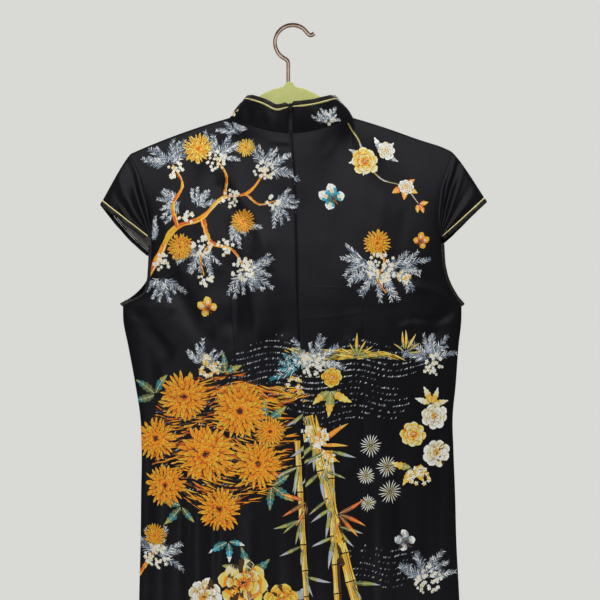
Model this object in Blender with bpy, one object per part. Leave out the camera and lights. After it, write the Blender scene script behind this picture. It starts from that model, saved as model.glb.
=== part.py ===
# A cheongsam dress hanging on a slim clothes hanger, with its zipped back towards -Y.
# Metres, +Z up. The origin is the inside top of the hanger's hook, where a rail or nail holds it.
# Sizes below are in millimetres; a "drop" is a distance straight down from the origin.
import math

import bmesh
import bpy
import numpy as np

MM = 0.001

# ---- cloth, trims and seams ----
WALL = 1.4  # the satin wall, its seam allowances and facing counted in
SEAM = 0.3  # gap between two sewn pieces
PIPING_WIDTH = 1.8
BINDING_WIDTH = 5.5
BINDING_THICK = 2.2
TRIM_REACH = 2 * SEAM + PIPING_WIDTH + BINDING_WIDTH + SEAM  # panel edge to finished edge
ARM_BIND_WIDTH = 5.2

# ---- neck and shoulders ----
NECK_CENTRE, NECK_HALF, NECK_DROP = -2.0, 84.0, 124.0
NECK = {-1: {"dip": 29.0, "depth": 34.0}, 1: {"dip": 66.0, "depth": 30.0}}  # back, front
COLLAR_TOP = {"half": 60.5, "drop": 94.0}
COLLAR = {-1: {"dip": 20.5, "depth": 46.0}, 1: {"dip": 62.0, "depth": 40.0}}
COLLAR_SAG = {"at": -20.0, "reach": 12.0, "drop": 5.5}  # the left half has sunk beside the zip
COLLAR_CORNER = {"from": 0.80, "left_over": 0.55}  # rounded ends at the centre front
ZIP_GAP = 4.4  # the collar halves stand this far apart at the zip
SHOULDER_SLOPE, SHOULDER_BEND = 0.28, 0.00062
SHOULDER_ROLL = 5.5  # the cloth rolls over the hanger with this radius
RIGHT_END = {"x": 205.0, "reach": 24.0, "rise": 3.2}  # the right shoulder stands higher at its end

# ---- the dress below the underarm: side edges, back seam, and how far each side stands out ----
UNDERARM = 381.0
HEM = 1174.0
SIDE_NAMES = ("drop", "left", "right", "back", "front")
SIDES = (
    (381, -231.5, 229.5, 27, 34),
    (400, -231.0, 229.3, 27, 34),
    (434, -224.5, 225.6, 25, 32),
    (486, -214.8, 221.8, 22, 27),
    (535, -207.5, 217.4, 20, 24),
    (572, -206.1, 218.4, 20, 23),
    (640, -206.8, 221.0, 23, 26),
    (700, -207.5, 222.5, 26, 29),
    (782, -209.5, 226.6, 27, 30),
    (900, -211.0, 229.0, 26, 30),
    (1040, -209.0, 226.0, 25, 29),
    (1174, -205.0, 221.0, 25, 28),
)
CENTRE_BACK_NAMES = ("drop", "x")
CENTRE_BACK = (
    (144, -2.7), (165, -0.2), (195, 2.0), (248, 3.6), (316, 5.4), (400, 7.8), (458, 11.4),
    (581, 15.0), (659, 18.4), (1174, 20.0),
)
SLIT = {"from": 950.0, "open": 8.0}  # side slits, and how far each edge stands off at the hem
SIDE_ROUND, SIDE_FALL = 2.2, 0.75  # how full the body stays towards its side seams

# ---- armholes: panel edge on each side, and half the gap between back and front edges ----
# the left back edge is scooped further in than the front one, whose inside shows beside it
ARM_NAMES = ("drop", "left", "left_back", "right", "gap", "chest_back", "chest_front")
ARMHOLE = (
    (172.5, -219.5, -219.5, 214.5, 5.5, 28, 22),
    (190, -210.5, -210.5, 209.0, 7, 28, 22),
    (212, -202.5, -202.5, 201.5, 9, 28, 23),
    (240, -194.5, -194.5, 197.0, 11, 28, 25),
    (268, -190.0, -190.0, 195.5, 12, 28, 28),
    (297, -189.5, -189.5, 199.0, 12, 28, 30),
    (328, -192.0, -191.0, 202.0, 10, 28, 32),
    (348, -197.0, -194.0, 208.5, 7, 28, 33),
    (364, -209.5, -201.0, 217.5, 4.5, 27, 34),
    (381, -231.5, -231.5, 229.5, 1.7, 27, 34),
)
TOP_BLEND = 110.0  # below the neckline the body takes this long to reach its own depth
YOKE = {"edge": 25.0, "half": 150.0}  # how far below and beside the neck its depth fades
ROLL_FADE = 10.0  # the shoulder's roll is gone where the neckline stands this far from the hanger

# ---- cap sleeves: hem corner on the ridge, and the hem's two lower ends ----
SLEEVE_NAMES = ("hand", "tip_x", "tip_drop", "back_x", "back_drop", "front_x", "front_drop", "front_sag")
SLEEVES = (
    (-1, -259.2, 235.6, -194.0, 286.1, -195.5, 306.5, 6.0),
    (1, 260.5, 232.0, 200.5, 286.1, 200.5, 293.4, 0.0),
)
SLEEVE_STOP = 2.0  # the sleeve takes the armhole's rows down to this far past its lower end
BINDING_STOP = 9.0  # and the armhole's strip starts at this distance below it
SLEEVE_OPEN = {-1: 13.0, 1: 11.0}  # half the gap of the sleeve's mouth
SLEEVE_CROWN, CROWN_SKEW = 4.4, 0.7  # the ridge line bows up by this much, most near the shoulder
SLEEVE_FULL = 4.0  # the cap stands out by this much between seam and hem
SLEEVE_FOLD = {"at": 0.40, "reach": 0.16, "depth": 2.6}

# ---- largest folds: a line on the cloth, its half width, and how far it stands out ----
FOLD_NAMES = ("face", "x0", "drop0", "x1", "drop1", "reach", "height")
FOLDS = (
    (-1, -168, 345, -118, 419, 13, -4.5),
    (-1, -95, 226, -80, 400, 17, -4.0),
    (-1, -42, 300, -44, 415, 20, 3.5),
    (-1, -214, 388, -172, 440, 11, -3.5),
    (-1, 212, 384, 176, 436, 11, -3.5),
    (-1, -166, 600, -168, 1174, 14, -4.5),
    (-1, -78, 640, -76, 1174, 19, -5.0),
    (-1, -118, 660, -122, 1174, 20, 4.0),
    (-1, 106, 620, 100, 1174, 18, -4.5),
    (-1, 60, 700, 56, 1174, 22, 4.0),
    (-1, 178, 560, 184, 1174, 15, -4.5),
    (1, -90, 470, -84, 1174, 22, -4.5),
    (1, 92, 470, 96, 1174, 22, -4.5),
    (1, -160, 560, -166, 1174, 18, 4.0),
    (1, 166, 560, 172, 1174, 18, 4.0),
    (1, 0, 640, 10, 1174, 26, 4.0),
    (1, -190, 372, -112, 402, 14, -4.0),
    (1, 190, 372, 112, 402, 14, -4.0),
)

# ---- zip ----
ZIP_X = -2.7
ZIP_END = 640.0
TAPE_HALF, TAPE_THICK, TAPE_CLEAR = 9.0, 0.8, 0.9
TAPE_LOW = 3.0  # its top ends this far below the collar's finished edge
SLIDER = {"width": 3.7, "top": 118.5, "foot": 130.0, "back": 44.6, "face": 47.2, "ears": 50.4}
EAR_WIDTH = 0.9
PULL = {"pivot_drop": 128.6, "pivot_y": -49.2, "thick": 1.1, "length": 25.5, "width": 6.0,
        "neck": 1.2, "above": 1.0, "straight": 2.2}

# ---- hanger ----
HANGER_CENTRE, HANGER_HALF_THICK, HANGER_EDGE = -5.0, 2.75, 1.3
HANGER_UNDER = 3.6  # the arms' top edge lies this far under the shoulder line
HANGER_REACH = 220.0
TIP_ROUND, TIP_DROOP = 7.5, {"from": 30.0, "drop": 5.0}
HANGER_NAMES = ("out", "top", "deep")
HANGER_TOP = (  # distance from its centre, drop of the top edge, depth of the board there
    (0.0, 81.5, 46), (10, 82.2, 45.5), (20, 84.6, 44), (31, 89.0, 41), (41, 94.5, 37), (53, 103.0, 31),
    (66, 113.5, 26), (82, 128.2, 22),
)
BOSS = {"rise": 6.3, "half": 3.2, "flare": 6.0}
ARM_DEEP_AT_TIP = 15.0

# ---- hook: a bent channel ----
HOOK_WIDTH, HOOK_DEEP, HOOK_SHEET = 5.2, 3.2, 0.9
LOOP = {"x": -0.4, "radius": 24.1, "from": 244.5, "to": 50.0}
STEM_X = -6.4


def table(rows, names, name, at):
    """One named column of a table, read at any drop along a smooth curve through its rows."""
    rows = np.array(rows, dtype=float)
    x, y = rows[:, 0], rows[:, names.index(name)]
    slope = np.gradient(y, x)
    at = np.clip(np.asarray(at, dtype=float), x[0], x[-1])
    k = np.clip(np.searchsorted(x, at, side="right") - 1, 0, len(x) - 2)
    span = x[k + 1] - x[k]
    t = (at - x[k]) / span
    return (
        y[k] * (1 + 2 * t) * (1 - t) ** 2
        + slope[k] * span * t * (1 - t) ** 2
        + y[k + 1] * t * t * (3 - 2 * t)
        + slope[k + 1] * span * t * t * (t - 1)
    )


def ease(t):
    """0 below 0, 1 above 1, and a smooth step between."""
    t = np.clip(t, 0.0, 1.0)
    return t * t * (3 - 2 * t)


def unit(v):
    return v / np.maximum(np.linalg.norm(v, axis=-1, keepdims=True), 1e-12)


def shoulder_drop(out):
    """Drop of the shoulder line, at a distance out from the neck point."""
    return NECK_DROP + SHOULDER_SLOPE * out + SHOULDER_BEND * out * out


def neck_point(face, angle):
    """The neckline at an angle from the centre (0) to the neck points (90 degrees either way)."""
    c = np.cos(angle)
    x = NECK_CENTRE + NECK_HALF * np.sin(angle)
    return x, face * NECK[face]["depth"] * c, NECK_DROP + NECK[face]["dip"] * c * c


def fold_height(face, x, drop):
    """How far the largest folds move the cloth out, as soft troughs and ridges along their lines."""
    out = np.zeros_like(x)
    for row in FOLDS:
        f = dict(zip(FOLD_NAMES, row))
        if f["face"] != face:
            continue
        run = np.array((f["x1"] - f["x0"], f["drop1"] - f["drop0"]), dtype=float)
        t = ((x - f["x0"]) * run[0] + (drop - f["drop0"]) * run[1]) / (run @ run)
        t = np.clip(t, 0, 1)
        away = np.hypot(x - f["x0"] - t * run[0], drop - f["drop0"] - t * run[1])
        grown = ease(t * 3) if f["drop1"] >= HEM else 1.0
        out += f["height"] * grown * np.exp(-((away / f["reach"]) ** 2))
    return out


def panel_points(face, across, low_drops, high_parts, roll_angles):
    """
    A body panel's outer face as rows from the hem up. across runs from -1 at the left side seam
    through 0 at the middle to 1 at the right. Rows are level below the underarm, fan out to the
    shoulder and neckline above it, and the last ones roll over the hanger.
    """
    hand = np.where(across < 0, -1, 1)
    part = np.abs(across)
    rows = []

    def middle(drop):
        if face < 0:
            return table(CENTRE_BACK, CENTRE_BACK_NAMES, "x", drop)
        sides = [table(SIDES, SIDE_NAMES, name, drop) for name in ("left", "right")]
        return NECK_CENTRE + (sum(sides) / 2 - NECK_CENTRE) * ease((drop - 160) / 200)

    def lens(x, left, right):
        full = np.clip(np.abs(2 * x - left - right) / (right - left), 0, 1)
        return (1 - full**SIDE_ROUND) ** SIDE_FALL, 1 - full**8

    for drop in low_drops:
        left = table(SIDES, SIDE_NAMES, "left", drop)
        right = table(SIDES, SIDE_NAMES, "right", drop)
        x = middle(drop) + part * (np.where(hand < 0, left, right) - middle(drop))
        edge = WALL + SEAM / 2 + SLIT["open"] * ease((drop - SLIT["from"]) / (HEM - SLIT["from"]))
        deep = table(SIDES, SIDE_NAMES, "back" if face < 0 else "front", drop)
        shape, calm = lens(x, left, right)
        y = edge + (deep - edge) * shape + fold_height(face, x, drop) * calm
        rows.append(np.stack((x, face * y, np.full_like(x, -drop)), -1))

    tip = ARMHOLE[0]
    tip_x = np.where(hand < 0, tip[1], tip[3])
    top_x = middle(NECK_DROP) + part * (tip_x - middle(NECK_DROP))
    sine = np.clip((top_x - NECK_CENTRE) / NECK_HALF, -1, 1)
    _, neck_y, neck_drop = neck_point(face, np.arcsin(sine))
    on_neck = np.abs(sine) < 1
    out = np.abs(top_x - NECK_CENTRE) - NECK_HALF
    rise = RIGHT_END["rise"] * np.exp(-(((top_x - RIGHT_END["x"]) / RIGHT_END["reach"]) ** 2))
    top_drop = np.where(on_neck, neck_drop, shoulder_drop(np.maximum(out, 0)) - rise)
    top_y = np.where(on_neck, np.abs(neck_y), 0.0)
    roll = SHOULDER_ROLL * np.clip(1 - top_y / ROLL_FADE, 0, 1)

    for s in high_parts:
        drop = UNDERARM - s * (UNDERARM - top_drop - SHOULDER_ROLL)
        edge_drop = UNDERARM - s * (UNDERARM - tip[0])
        left = table(ARMHOLE, ARM_NAMES, "left_back" if face < 0 else "left", edge_drop)
        right = table(ARMHOLE, ARM_NAMES, "right", edge_drop)
        gap = table(ARMHOLE, ARM_NAMES, "gap", edge_drop)
        deep = table(ARMHOLE, ARM_NAMES, "chest_back" if face < 0 else "chest_front", edge_drop)
        mid = middle(UNDERARM - s * (UNDERARM - NECK_DROP))
        x = mid + part * (np.where(hand < 0, left, right) - mid)
        shape, calm = lens(x, left, right)
        below = drop - top_drop - SHOULDER_ROLL
        settled = ease(below / TOP_BLEND)
        near = ease(1 - below / YOKE["edge"])
        beside = ease(1 - np.abs(x - NECK_CENTRE) / YOKE["half"])
        yoke = SHOULDER_ROLL + (NECK[face]["depth"] - SHOULDER_ROLL) * beside
        high = near * (top_y + roll) + (1 - near) * yoke
        y = (1 - settled) * high + settled * (gap + (deep - gap) * shape)
        y += fold_height(face, x, drop) * calm * settled
        rows.append(np.stack((x, face * (y + SEAM / 2), -drop), -1))

    for angle in roll_angles:
        y = top_y + roll * math.cos(angle)
        climb = roll * math.sin(angle) + (SHOULDER_ROLL - roll) * angle / (math.pi / 2)
        drop = top_drop + SHOULDER_ROLL - climb
        rows.append(np.stack((top_x, face * (y + SEAM / 2), -drop), -1))
    points = np.array(rows)
    # the finished top edge faces down at the shoulder seam and into the neck at the neckline
    into_neck = np.stack((-sine, -face * np.sqrt(1 - sine**2), np.zeros_like(sine)), -1)
    down = np.array((0.0, 0.0, -1.0))
    share = (roll / SHOULDER_ROLL)[:, None]
    top_inward = unit(into_neck * (1 - share) + down * share)
    return points, top_inward


def inward(points, towards):
    """Unit normals of a grid of points, turned to the side on which the point "towards" lies."""
    n = unit(np.cross(np.gradient(points, axis=0), np.gradient(points, axis=1)))
    side = np.sum(n * (np.asarray(towards) - points), axis=-1)
    return n * (1 if np.median(side) > 0 else -1)


def new_object(name, verts, faces, colour, roughness, metallic=0.0):
    """One closed body in metres, faces out, with its own material."""
    mesh = bpy.data.meshes.new(name)
    mesh.from_pydata([tuple(v) for v in np.asarray(verts) * MM], [], faces)
    mesh.validate()
    bm = bmesh.new()
    bm.from_mesh(mesh)
    bmesh.ops.recalc_face_normals(bm, faces=bm.faces)
    bm.to_mesh(mesh)
    bm.free()
    mesh.shade_smooth()
    mesh.set_sharp_from_angle(angle=math.radians(40))
    ob = bpy.data.objects.new(name, mesh)
    bpy.context.scene.collection.objects.link(ob)
    material = bpy.data.materials.new(name)
    material.use_nodes = True
    shader = material.node_tree.nodes["Principled BSDF"]
    shader.inputs["Base Color"].default_value = (*colour, 1)
    shader.inputs["Roughness"].default_value = roughness
    shader.inputs["Metallic"].default_value = metallic
    mesh.materials.append(material)
    return ob


def sheet(name, points, normals, thick, colour, roughness):
    """A wall: a grid of outer points, and the same points moved in, joined round the rim."""
    m, n = points.shape[:2]
    inner = points + normals * thick
    verts = np.concatenate((points.reshape(-1, 3), inner.reshape(-1, 3)))
    low = m * n
    faces = []
    for i in range(m - 1):
        for j in range(n - 1):
            a, b, c, d = i * n + j, i * n + j + 1, (i + 1) * n + j + 1, (i + 1) * n + j
            faces += [(a, b, c, d), (low + d, low + c, low + b, low + a)]
    rim = [(0, j) for j in range(n - 1)] + [(i, n - 1) for i in range(m - 1)]
    rim += [(m - 1, j) for j in range(n - 1, 0, -1)] + [(i, 0) for i in range(m - 1, 0, -1)]
    for (i, j), (k, h) in zip(rim, rim[1:] + rim[:1]):
        a, b = i * n + j, k * n + h
        faces.append((b, a, low + a, low + b))
    return new_object(name, verts, faces, colour, roughness)


def swept(name, rings, colour, roughness, metallic=0.0):
    """A closed body through rings of points, one ring for each station, capped at both ends."""
    m, n = rings.shape[:2]
    faces = []
    for i in range(m - 1):
        for j in range(n):
            k = (j + 1) % n
            faces.append((i * n + j, i * n + k, (i + 1) * n + k, (i + 1) * n + j))
    faces += [tuple(range(n - 1, -1, -1)), tuple((m - 1) * n + j for j in range(n))]
    return new_object(name, rings.reshape(-1, 3), faces, colour, roughness, metallic)


def trim(name, edge, normals, outward, offset, width, thick, colour, roughness, sides=6):
    """A flat cord beside a cut edge, centred in the wall and set off from it along the cloth."""
    run = unit(np.gradient(edge, axis=0))
    out = unit(outward - run * np.sum(outward * run, axis=-1, keepdims=True))
    across = unit(np.cross(run, out))
    centre = edge + normals * WALL / 2 + out * (offset + width / 2)
    turn = np.linspace(0, 2 * math.pi, sides, endpoint=False) + math.pi / sides
    fit = 1 / math.cos(math.pi / sides)
    rings = (
        centre[:, None]
        + out[:, None] * (np.cos(turn) * fit * width / 2)[None, :, None]
        + across[:, None] * (np.sin(turn) * thick / 2)[None, :, None]
    )
    return swept(name, rings, colour, roughness)


SATIN, GOLD, TAPE = (0.012, 0.012, 0.014), (0.62, 0.50, 0.20), (0.01, 0.01, 0.011)
FLOCK, METAL, ENAMEL = (0.42, 0.45, 0.13), (0.55, 0.36, 0.26), (0.03, 0.03, 0.035)
HAND = {-1: "left", 1: "right"}

LOW_DROPS = np.concatenate((np.linspace(HEM, 500, 15), np.linspace(464, UNDERARM + 10, 3)))
HIGH_PARTS = np.array((0, 0.08, 0.16, 0.25, 0.33, 0.375, 0.42, 0.455, 0.54, 0.66, 0.78, 0.88, 0.95, 1.0))
ROLL_ANGLES = np.radians((30, 60, 90))
NECK_ANGLES = {-1: np.radians((0, 15, 30, 45, 60, 75, 90)), 1: np.radians((0, 6, 18, 32, 46, 60, 75, 90))}


def columns(face, hand, shoulder_count):
    """Column places from the middle to one side: even angles round the neck, then the shoulder."""
    middle = ZIP_X if face < 0 else NECK_CENTRE
    half = abs(ARMHOLE[0][1 if hand < 0 else 3] - middle)
    neck = (NECK_HALF * np.sin(NECK_ANGLES[face]) + hand * (NECK_CENTRE - middle)) / half
    neck[0] = SEAM / 2 / half if face < 0 else 0
    return np.concatenate((neck[:-1], np.linspace(neck[-1], 1, shoulder_count)))


def build_body():
    """Two back panels and one front. Returns their armhole edges, and the cloth beside the zip."""
    edges, by_zip = {}, {}
    for hand in (-1, 1):
        across = np.sort(hand * columns(-1, hand, 8))
        points, top_inward = panel_points(-1, across, LOW_DROPS, HIGH_PARTS, ROLL_ANGLES)
        normals = inward(points, (0, 0, -500))
        normals[-1] = top_inward
        sheet("back_" + HAND[hand], points, normals, WALL, SATIN, 0.35)
        side = 0 if hand < 0 else -1
        near = 1 if hand < 0 else -2
        edges[(-1, hand)] = (points[:, side], normals[:, side], points[:, side] - points[:, near])
        order = slice(None, None, hand)
        by_zip[hand] = (points[:-2, order][:, :2], normals[:-2, order][:, 0])
    across = np.concatenate((-columns(1, -1, 7)[:0:-1], columns(1, 1, 7)))
    points, top_inward = panel_points(1, across, LOW_DROPS, HIGH_PARTS, ROLL_ANGLES)
    normals = inward(points, (0, 0, -500))
    normals[-1] = top_inward
    sheet("front", points, normals, WALL, SATIN, 0.35)
    for hand, side, near in ((-1, 0, 1), (1, -1, -2)):
        edges[(1, hand)] = (points[:, side], normals[:, side], points[:, side] - points[:, near])
    return edges, by_zip


def arm_range(edge, drop_from, drop_to):
    """The rows of a side edge between two drops, both counted upwards from the underarm."""
    drop = -edge[0][:, 2]
    keep = (drop <= drop_from) & (drop >= drop_to)
    return [part[keep] for part in edge]


def build_armhole_binding(edges, hand):
    """A bias strip round the open part of the armhole, from the back of the sleeve to its front."""
    row = dict(zip(SLEEVE_NAMES, SLEEVES[0 if hand < 0 else 1]))
    parts = []
    for face, stop in ((-1, row["back_drop"]), (1, row["front_drop"])):
        found = arm_range(edges[(face, hand)], UNDERARM + 1, stop + BINDING_STOP)
        parts.append([p[::-1] if face < 0 else p for p in found])
    edge, normals, outward = [np.concatenate((a, b)) for a, b in zip(*parts)]
    turn = len(parts[0][0])
    # round the underarm the strip crosses the side seam on a level stretch of its own
    middle = (edge[turn - 1] + edge[turn]) / 2
    up_out = unit(np.array((hand * 0.7, 0.0, 0.7)))
    edge = np.insert(edge, turn, middle, axis=0)
    normals = np.insert(normals, turn, np.zeros(3), axis=0)
    outward = np.insert(outward, turn, up_out, axis=0)
    outward[turn - 1], outward[turn + 1] = up_out, up_out
    trim("armhole_binding_" + HAND[hand], edge, normals, outward, SEAM + 0.4, ARM_BIND_WIDTH,
         BINDING_THICK, SATIN, 0.3)


def build_sleeve(edges, hand):
    """A cap sleeve: one cloth from the back of the armhole over the ridge to its front."""
    row = dict(zip(SLEEVE_NAMES, SLEEVES[0 if hand < 0 else 1]))
    back = arm_range(edges[(-1, hand)], row["back_drop"] + SLEEVE_STOP, 0)
    front = arm_range(edges[(1, hand)], row["front_drop"] + SLEEVE_STOP, 0)
    seam = np.concatenate((back[0][:-1], (back[0][-1:] + front[0][-1:]) / 2, front[0][-2::-1]))
    seam_in = np.concatenate((back[1], front[1][-2::-1]))
    seam_out = np.concatenate((back[2], front[2][-2::-1]))
    ridge = len(back[0]) - 1
    seam = seam + unit(seam_out) * SEAM
    length = np.concatenate(([0], np.cumsum(np.linalg.norm(np.diff(seam, axis=0), axis=1))))
    up = np.where(np.arange(len(seam)) <= ridge, length / length[ridge],
                  (length[-1] - length) / (length[-1] - length[ridge]))
    face = np.where(np.arange(len(seam)) <= ridge, -1.0, 1.0)
    low_x = np.where(face < 0, row["back_x"], row["front_x"])
    low_drop = np.where(face < 0, row["back_drop"], row["front_drop"])
    sag = np.where(face < 0, 0, row["front_sag"]) * 4 * up * (1 - up)
    hem = np.stack((
        low_x + (row["tip_x"] - low_x) * up,
        face * SLEEVE_OPEN[hand] * np.sqrt(np.clip(1 - up**3, 0, 1)),
        -(low_drop + (row["tip_drop"] - low_drop) * up + sag),
    ), -1)
    w = np.array((0, 0.17, 0.34, 0.5, 0.67, 0.84, 1.0))[None, :, None]
    points = seam[:, None] * (1 - w) + hem[:, None] * w
    hump = 4 * w[..., 0] * (1 - w[..., 0])
    top = up[:, None] ** 4
    points[..., 2] += SLEEVE_CROWN * np.sin(math.pi * w[..., 0] ** CROWN_SKEW) * top
    fold = np.exp(-(((w[..., 0] - SLEEVE_FOLD["at"]) / SLEEVE_FOLD["reach"]) ** 2))
    body = (up * (1 - up))[:, None] * 4
    points[..., 1] += face[:, None] * body * (SLEEVE_FULL * hump - SLEEVE_FOLD["depth"] * fold)
    normals = inward(points, (hand * 215, 0, -260))
    normals[:, 0] = seam_in
    normals[ridge] = unit(normals[ridge] * np.array((1, 0, 1)))
    name = HAND[hand]
    sheet("sleeve_" + name, points, normals, WALL, SATIN, 0.35)
    edge, edge_in = points[:, -1], normals[:, -1]
    outward = points[:, -1] - points[:, -2]
    trim("sleeve_piping_" + name, edge, edge_in, outward, SEAM, PIPING_WIDTH, 2.4, GOLD, 0.4)
    trim("sleeve_binding_" + name, edge, edge_in, outward, 2 * SEAM + PIPING_WIDTH, BINDING_WIDTH,
         BINDING_THICK, SATIN, 0.3)


def collar_rows(hand, angle, heights):
    """The stand collar between neckline and top edge, at parts of its own height."""
    face = np.where(np.abs(angle) < math.pi / 2, -1, 1)
    c = np.abs(np.cos(angle))
    base_x = NECK_CENTRE + hand * NECK_HALF * np.sin(angle)
    top_half = np.maximum(COLLAR_TOP["half"] * np.sin(angle), np.where(face > 0, TRIM_REACH + 1, 0))
    top_x = NECK_CENTRE + hand * top_half
    pick = lambda rows, name: np.where(face < 0, rows[-1][name], rows[1][name])
    base = np.stack((base_x, face * (pick(NECK, "depth") * c + SEAM / 2),
                     -(NECK_DROP + pick(NECK, "dip") * c * c)), -1)
    sag = COLLAR_SAG["drop"] * np.exp(-(((top_x - COLLAR_SAG["at"]) / COLLAR_SAG["reach"]) ** 2))
    top_drop = COLLAR_TOP["drop"] + pick(COLLAR, "dip") * c * c + np.where(face < 0, sag, 0)
    top = np.stack((top_x, face * pick(COLLAR, "depth") * c, -top_drop), -1)
    corner = np.clip((angle / math.pi - COLLAR_CORNER["from"]) / (1 - COLLAR_CORNER["from"]), 0, 1)
    share = 1 - (1 - COLLAR_CORNER["left_over"]) * (1 - np.sqrt(1 - corner**2))
    top = base + (top - base) * share[:, None]
    tall = np.linalg.norm(top - base, axis=-1)
    cut = base + (top - base) * (1 - TRIM_REACH / tall)[:, None]
    base = base + unit(top - base) * SEAM
    h = np.asarray(heights)[:, None, None]
    return base * (1 - h) + cut * h


def build_collar(hand):
    """Half of the stand collar, with its gold piping and its satin binding."""
    start = math.asin((ZIP_GAP / 2 + hand * (ZIP_X - NECK_CENTRE)) / COLLAR_TOP["half"])
    angle = np.concatenate(([start], NECK_ANGLES[-1][1:], math.pi - NECK_ANGLES[1][-2:0:-1]))
    points = collar_rows(hand, angle, (0, 0.5, 1))
    normals = inward(points, (0, 0, -130))
    level = np.stack((-hand * np.sin(angle), np.cos(angle), np.zeros_like(angle)), -1)
    normals[0] = unit(level)
    name = HAND[hand]
    sheet("collar_" + name, points, normals, WALL, SATIN, 0.35)
    # the trims follow the top edge, turn the front corner and run down the end to the neckline
    foot = points[:1, -1] + unit(points[1:2, -1] - points[:1, -1]) * 2 * SEAM
    edge = np.concatenate((points[-1], points[-2:0:-1, -1], foot))
    edge_in = np.concatenate((normals[-1], normals[-2::-1, -1]))
    outward = np.concatenate((points[-1] - points[-2], points[-2::-1, -1] - points[-2::-1, -2]))
    outward[len(angle) - 1] = unit(outward[len(angle) - 1]) + unit(outward[len(angle)])
    trim("collar_piping_" + name, edge, edge_in, outward, SEAM, PIPING_WIDTH, 2.4, GOLD, 0.4)
    trim("collar_binding_" + name, edge, edge_in, outward, 2 * SEAM + PIPING_WIDTH,
         BINDING_WIDTH, BINDING_THICK, SATIN, 0.3)
    return points[:, :2], normals[:, 0]


def build_zip(by_zip, by_split):
    """The tape behind the back seam and the collar split, the slider, and its pull tab."""
    columns_of = {}
    for hand in (-1, 1):
        cloth, cloth_in = by_zip[hand]
        stand, stand_in = by_split[hand]
        keep = -cloth[:, 0, 2] < ZIP_END
        rise = unit(stand[-1] - stand[-2]) * (TRIM_REACH - TAPE_LOW)
        pair = np.concatenate((cloth[keep], stand, stand[-1:] + rise))
        pair_in = np.concatenate((cloth_in[keep], stand_in, stand_in[-1:]))
        share = TAPE_HALF / np.abs(pair[:, 1, 0] - pair[:, 0, 0])
        away = pair[:, 0] + (pair[:, 1] - pair[:, 0]) * share[:, None]
        columns_of[hand] = (away, pair[:, 0], pair_in)
    (left, left_mid, left_in), (right, right_mid, right_in) = columns_of[-1], columns_of[1]
    points = np.stack((left, (left_mid + right_mid) / 2, right), axis=1)
    normals = unit(np.stack((left_in, left_in + right_in, right_in), axis=1))
    points = points + normals * (WALL + TAPE_CLEAR)
    sheet("zip_tape", points, normals, TAPE_THICK, TAPE, 0.6)

    s = SLIDER
    half, ear = s["width"] / 2, EAR_WIDTH
    outline = ((-half, -s["back"]), (-half, -s["ears"]), (-half + ear, -s["ears"]),
               (-half + ear, -s["face"]), (half - ear, -s["face"]), (half - ear, -s["ears"]),
               (half, -s["ears"]), (half, -s["back"]))
    rings = np.array([[(ZIP_X + x, y, -drop) for x, y in outline] for drop in (s["top"], s["foot"])])
    swept("zip_slider", rings, ENAMEL, 0.35, 0.6)

    p = PULL
    half, neck = p["width"] / 2, p["neck"] / 2
    side = [(neck, p["above"]), (neck, -p["straight"])]
    bottom = -p["length"] + half
    side += [(neck + (half - neck) * float(ease(t)), (1 - t) * side[1][1] + t * bottom)
             for t in (0.3, 0.65, 1.0)]
    side += [(half * math.cos(a), bottom - half * math.sin(a)) for a in np.radians((30, 60))]
    side = side + [(0.0, bottom - half)] + [(-x, z) for x, z in side[::-1]]
    rings = np.array([
        [(ZIP_X + x, p["pivot_y"] + y, -p["pivot_drop"] + z) for x, z in side]
        for y in (-p["thick"] / 2, p["thick"] / 2)
    ])
    swept("zip_pull", rings, ENAMEL, 0.3, 0.6)


def build_hanger():
    """A slim moulded hanger: a domed neck with a boss for the hook, and two sloping arms."""
    near = np.array([r[0] for r in HANGER_TOP])
    fine = np.array((0, 2.4, 3.6, 5.2, 7.5))
    inner = np.unique(np.concatenate((fine, near[1:])))
    arm = np.linspace(near[-1] + 18, HANGER_REACH - TIP_ROUND, 8)
    tip = HANGER_REACH - TIP_ROUND * np.array((0.7, 0.3, 0.07))
    out = np.concatenate((inner, arm, tip))
    rings = []
    for side in (-1, 1):
        for d in (out[::-1] if side < 0 else out[1:]):
            x = HANGER_CENTRE + side * d
            under = shoulder_drop(abs(x - NECK_CENTRE) - NECK_HALF) + HANGER_UNDER
            start = HANGER_REACH - TIP_DROOP["from"]
            under += TIP_DROOP["drop"] * float(ease((d - start) / TIP_DROOP["from"]))
            if d <= near[-1]:
                top = float(table(HANGER_TOP, HANGER_NAMES, "top", d))
                deep = float(table(HANGER_TOP, HANGER_NAMES, "deep", d))
                rise = float(ease((BOSS["half"] + BOSS["flare"] - d) / BOSS["flare"]))
                top -= BOSS["rise"] * rise
                deep += BOSS["rise"] * rise
            else:
                t = (d - near[-1]) / (HANGER_REACH - near[-1])
                top = under
                deep = HANGER_TOP[-1][2] * (1 - t) + ARM_DEEP_AT_TIP * t
            round_in = HANGER_REACH - d
            if round_in < TIP_ROUND:
                cut = TIP_ROUND - math.sqrt(TIP_ROUND**2 - (TIP_ROUND - round_in) ** 2)
                top, deep = top + cut, deep - 2 * cut
            h, e = HANGER_HALF_THICK, min(HANGER_EDGE, deep / 4)
            z0, z1 = -top, -top - deep
            rings.append([(x, -h + e, z0), (x, -h, z0 - e), (x, -h, z1 + e), (x, -h + e, z1),
                          (x, h - e, z1), (x, h, z1 + e), (x, h, z0 - e), (x, h - e, z0)])
    swept("hanger_body", np.array(rings), FLOCK, 0.95)


def bezier(points, t):
    """A Bezier curve through two or three control points and its ends."""
    p = [np.array(q, dtype=float) for q in points]
    t = np.asarray(t)[:, None]
    while len(p) > 1:
        p = [a * (1 - t) + b * t for a, b in zip(p, p[1:])]
    return p[0]


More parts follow.
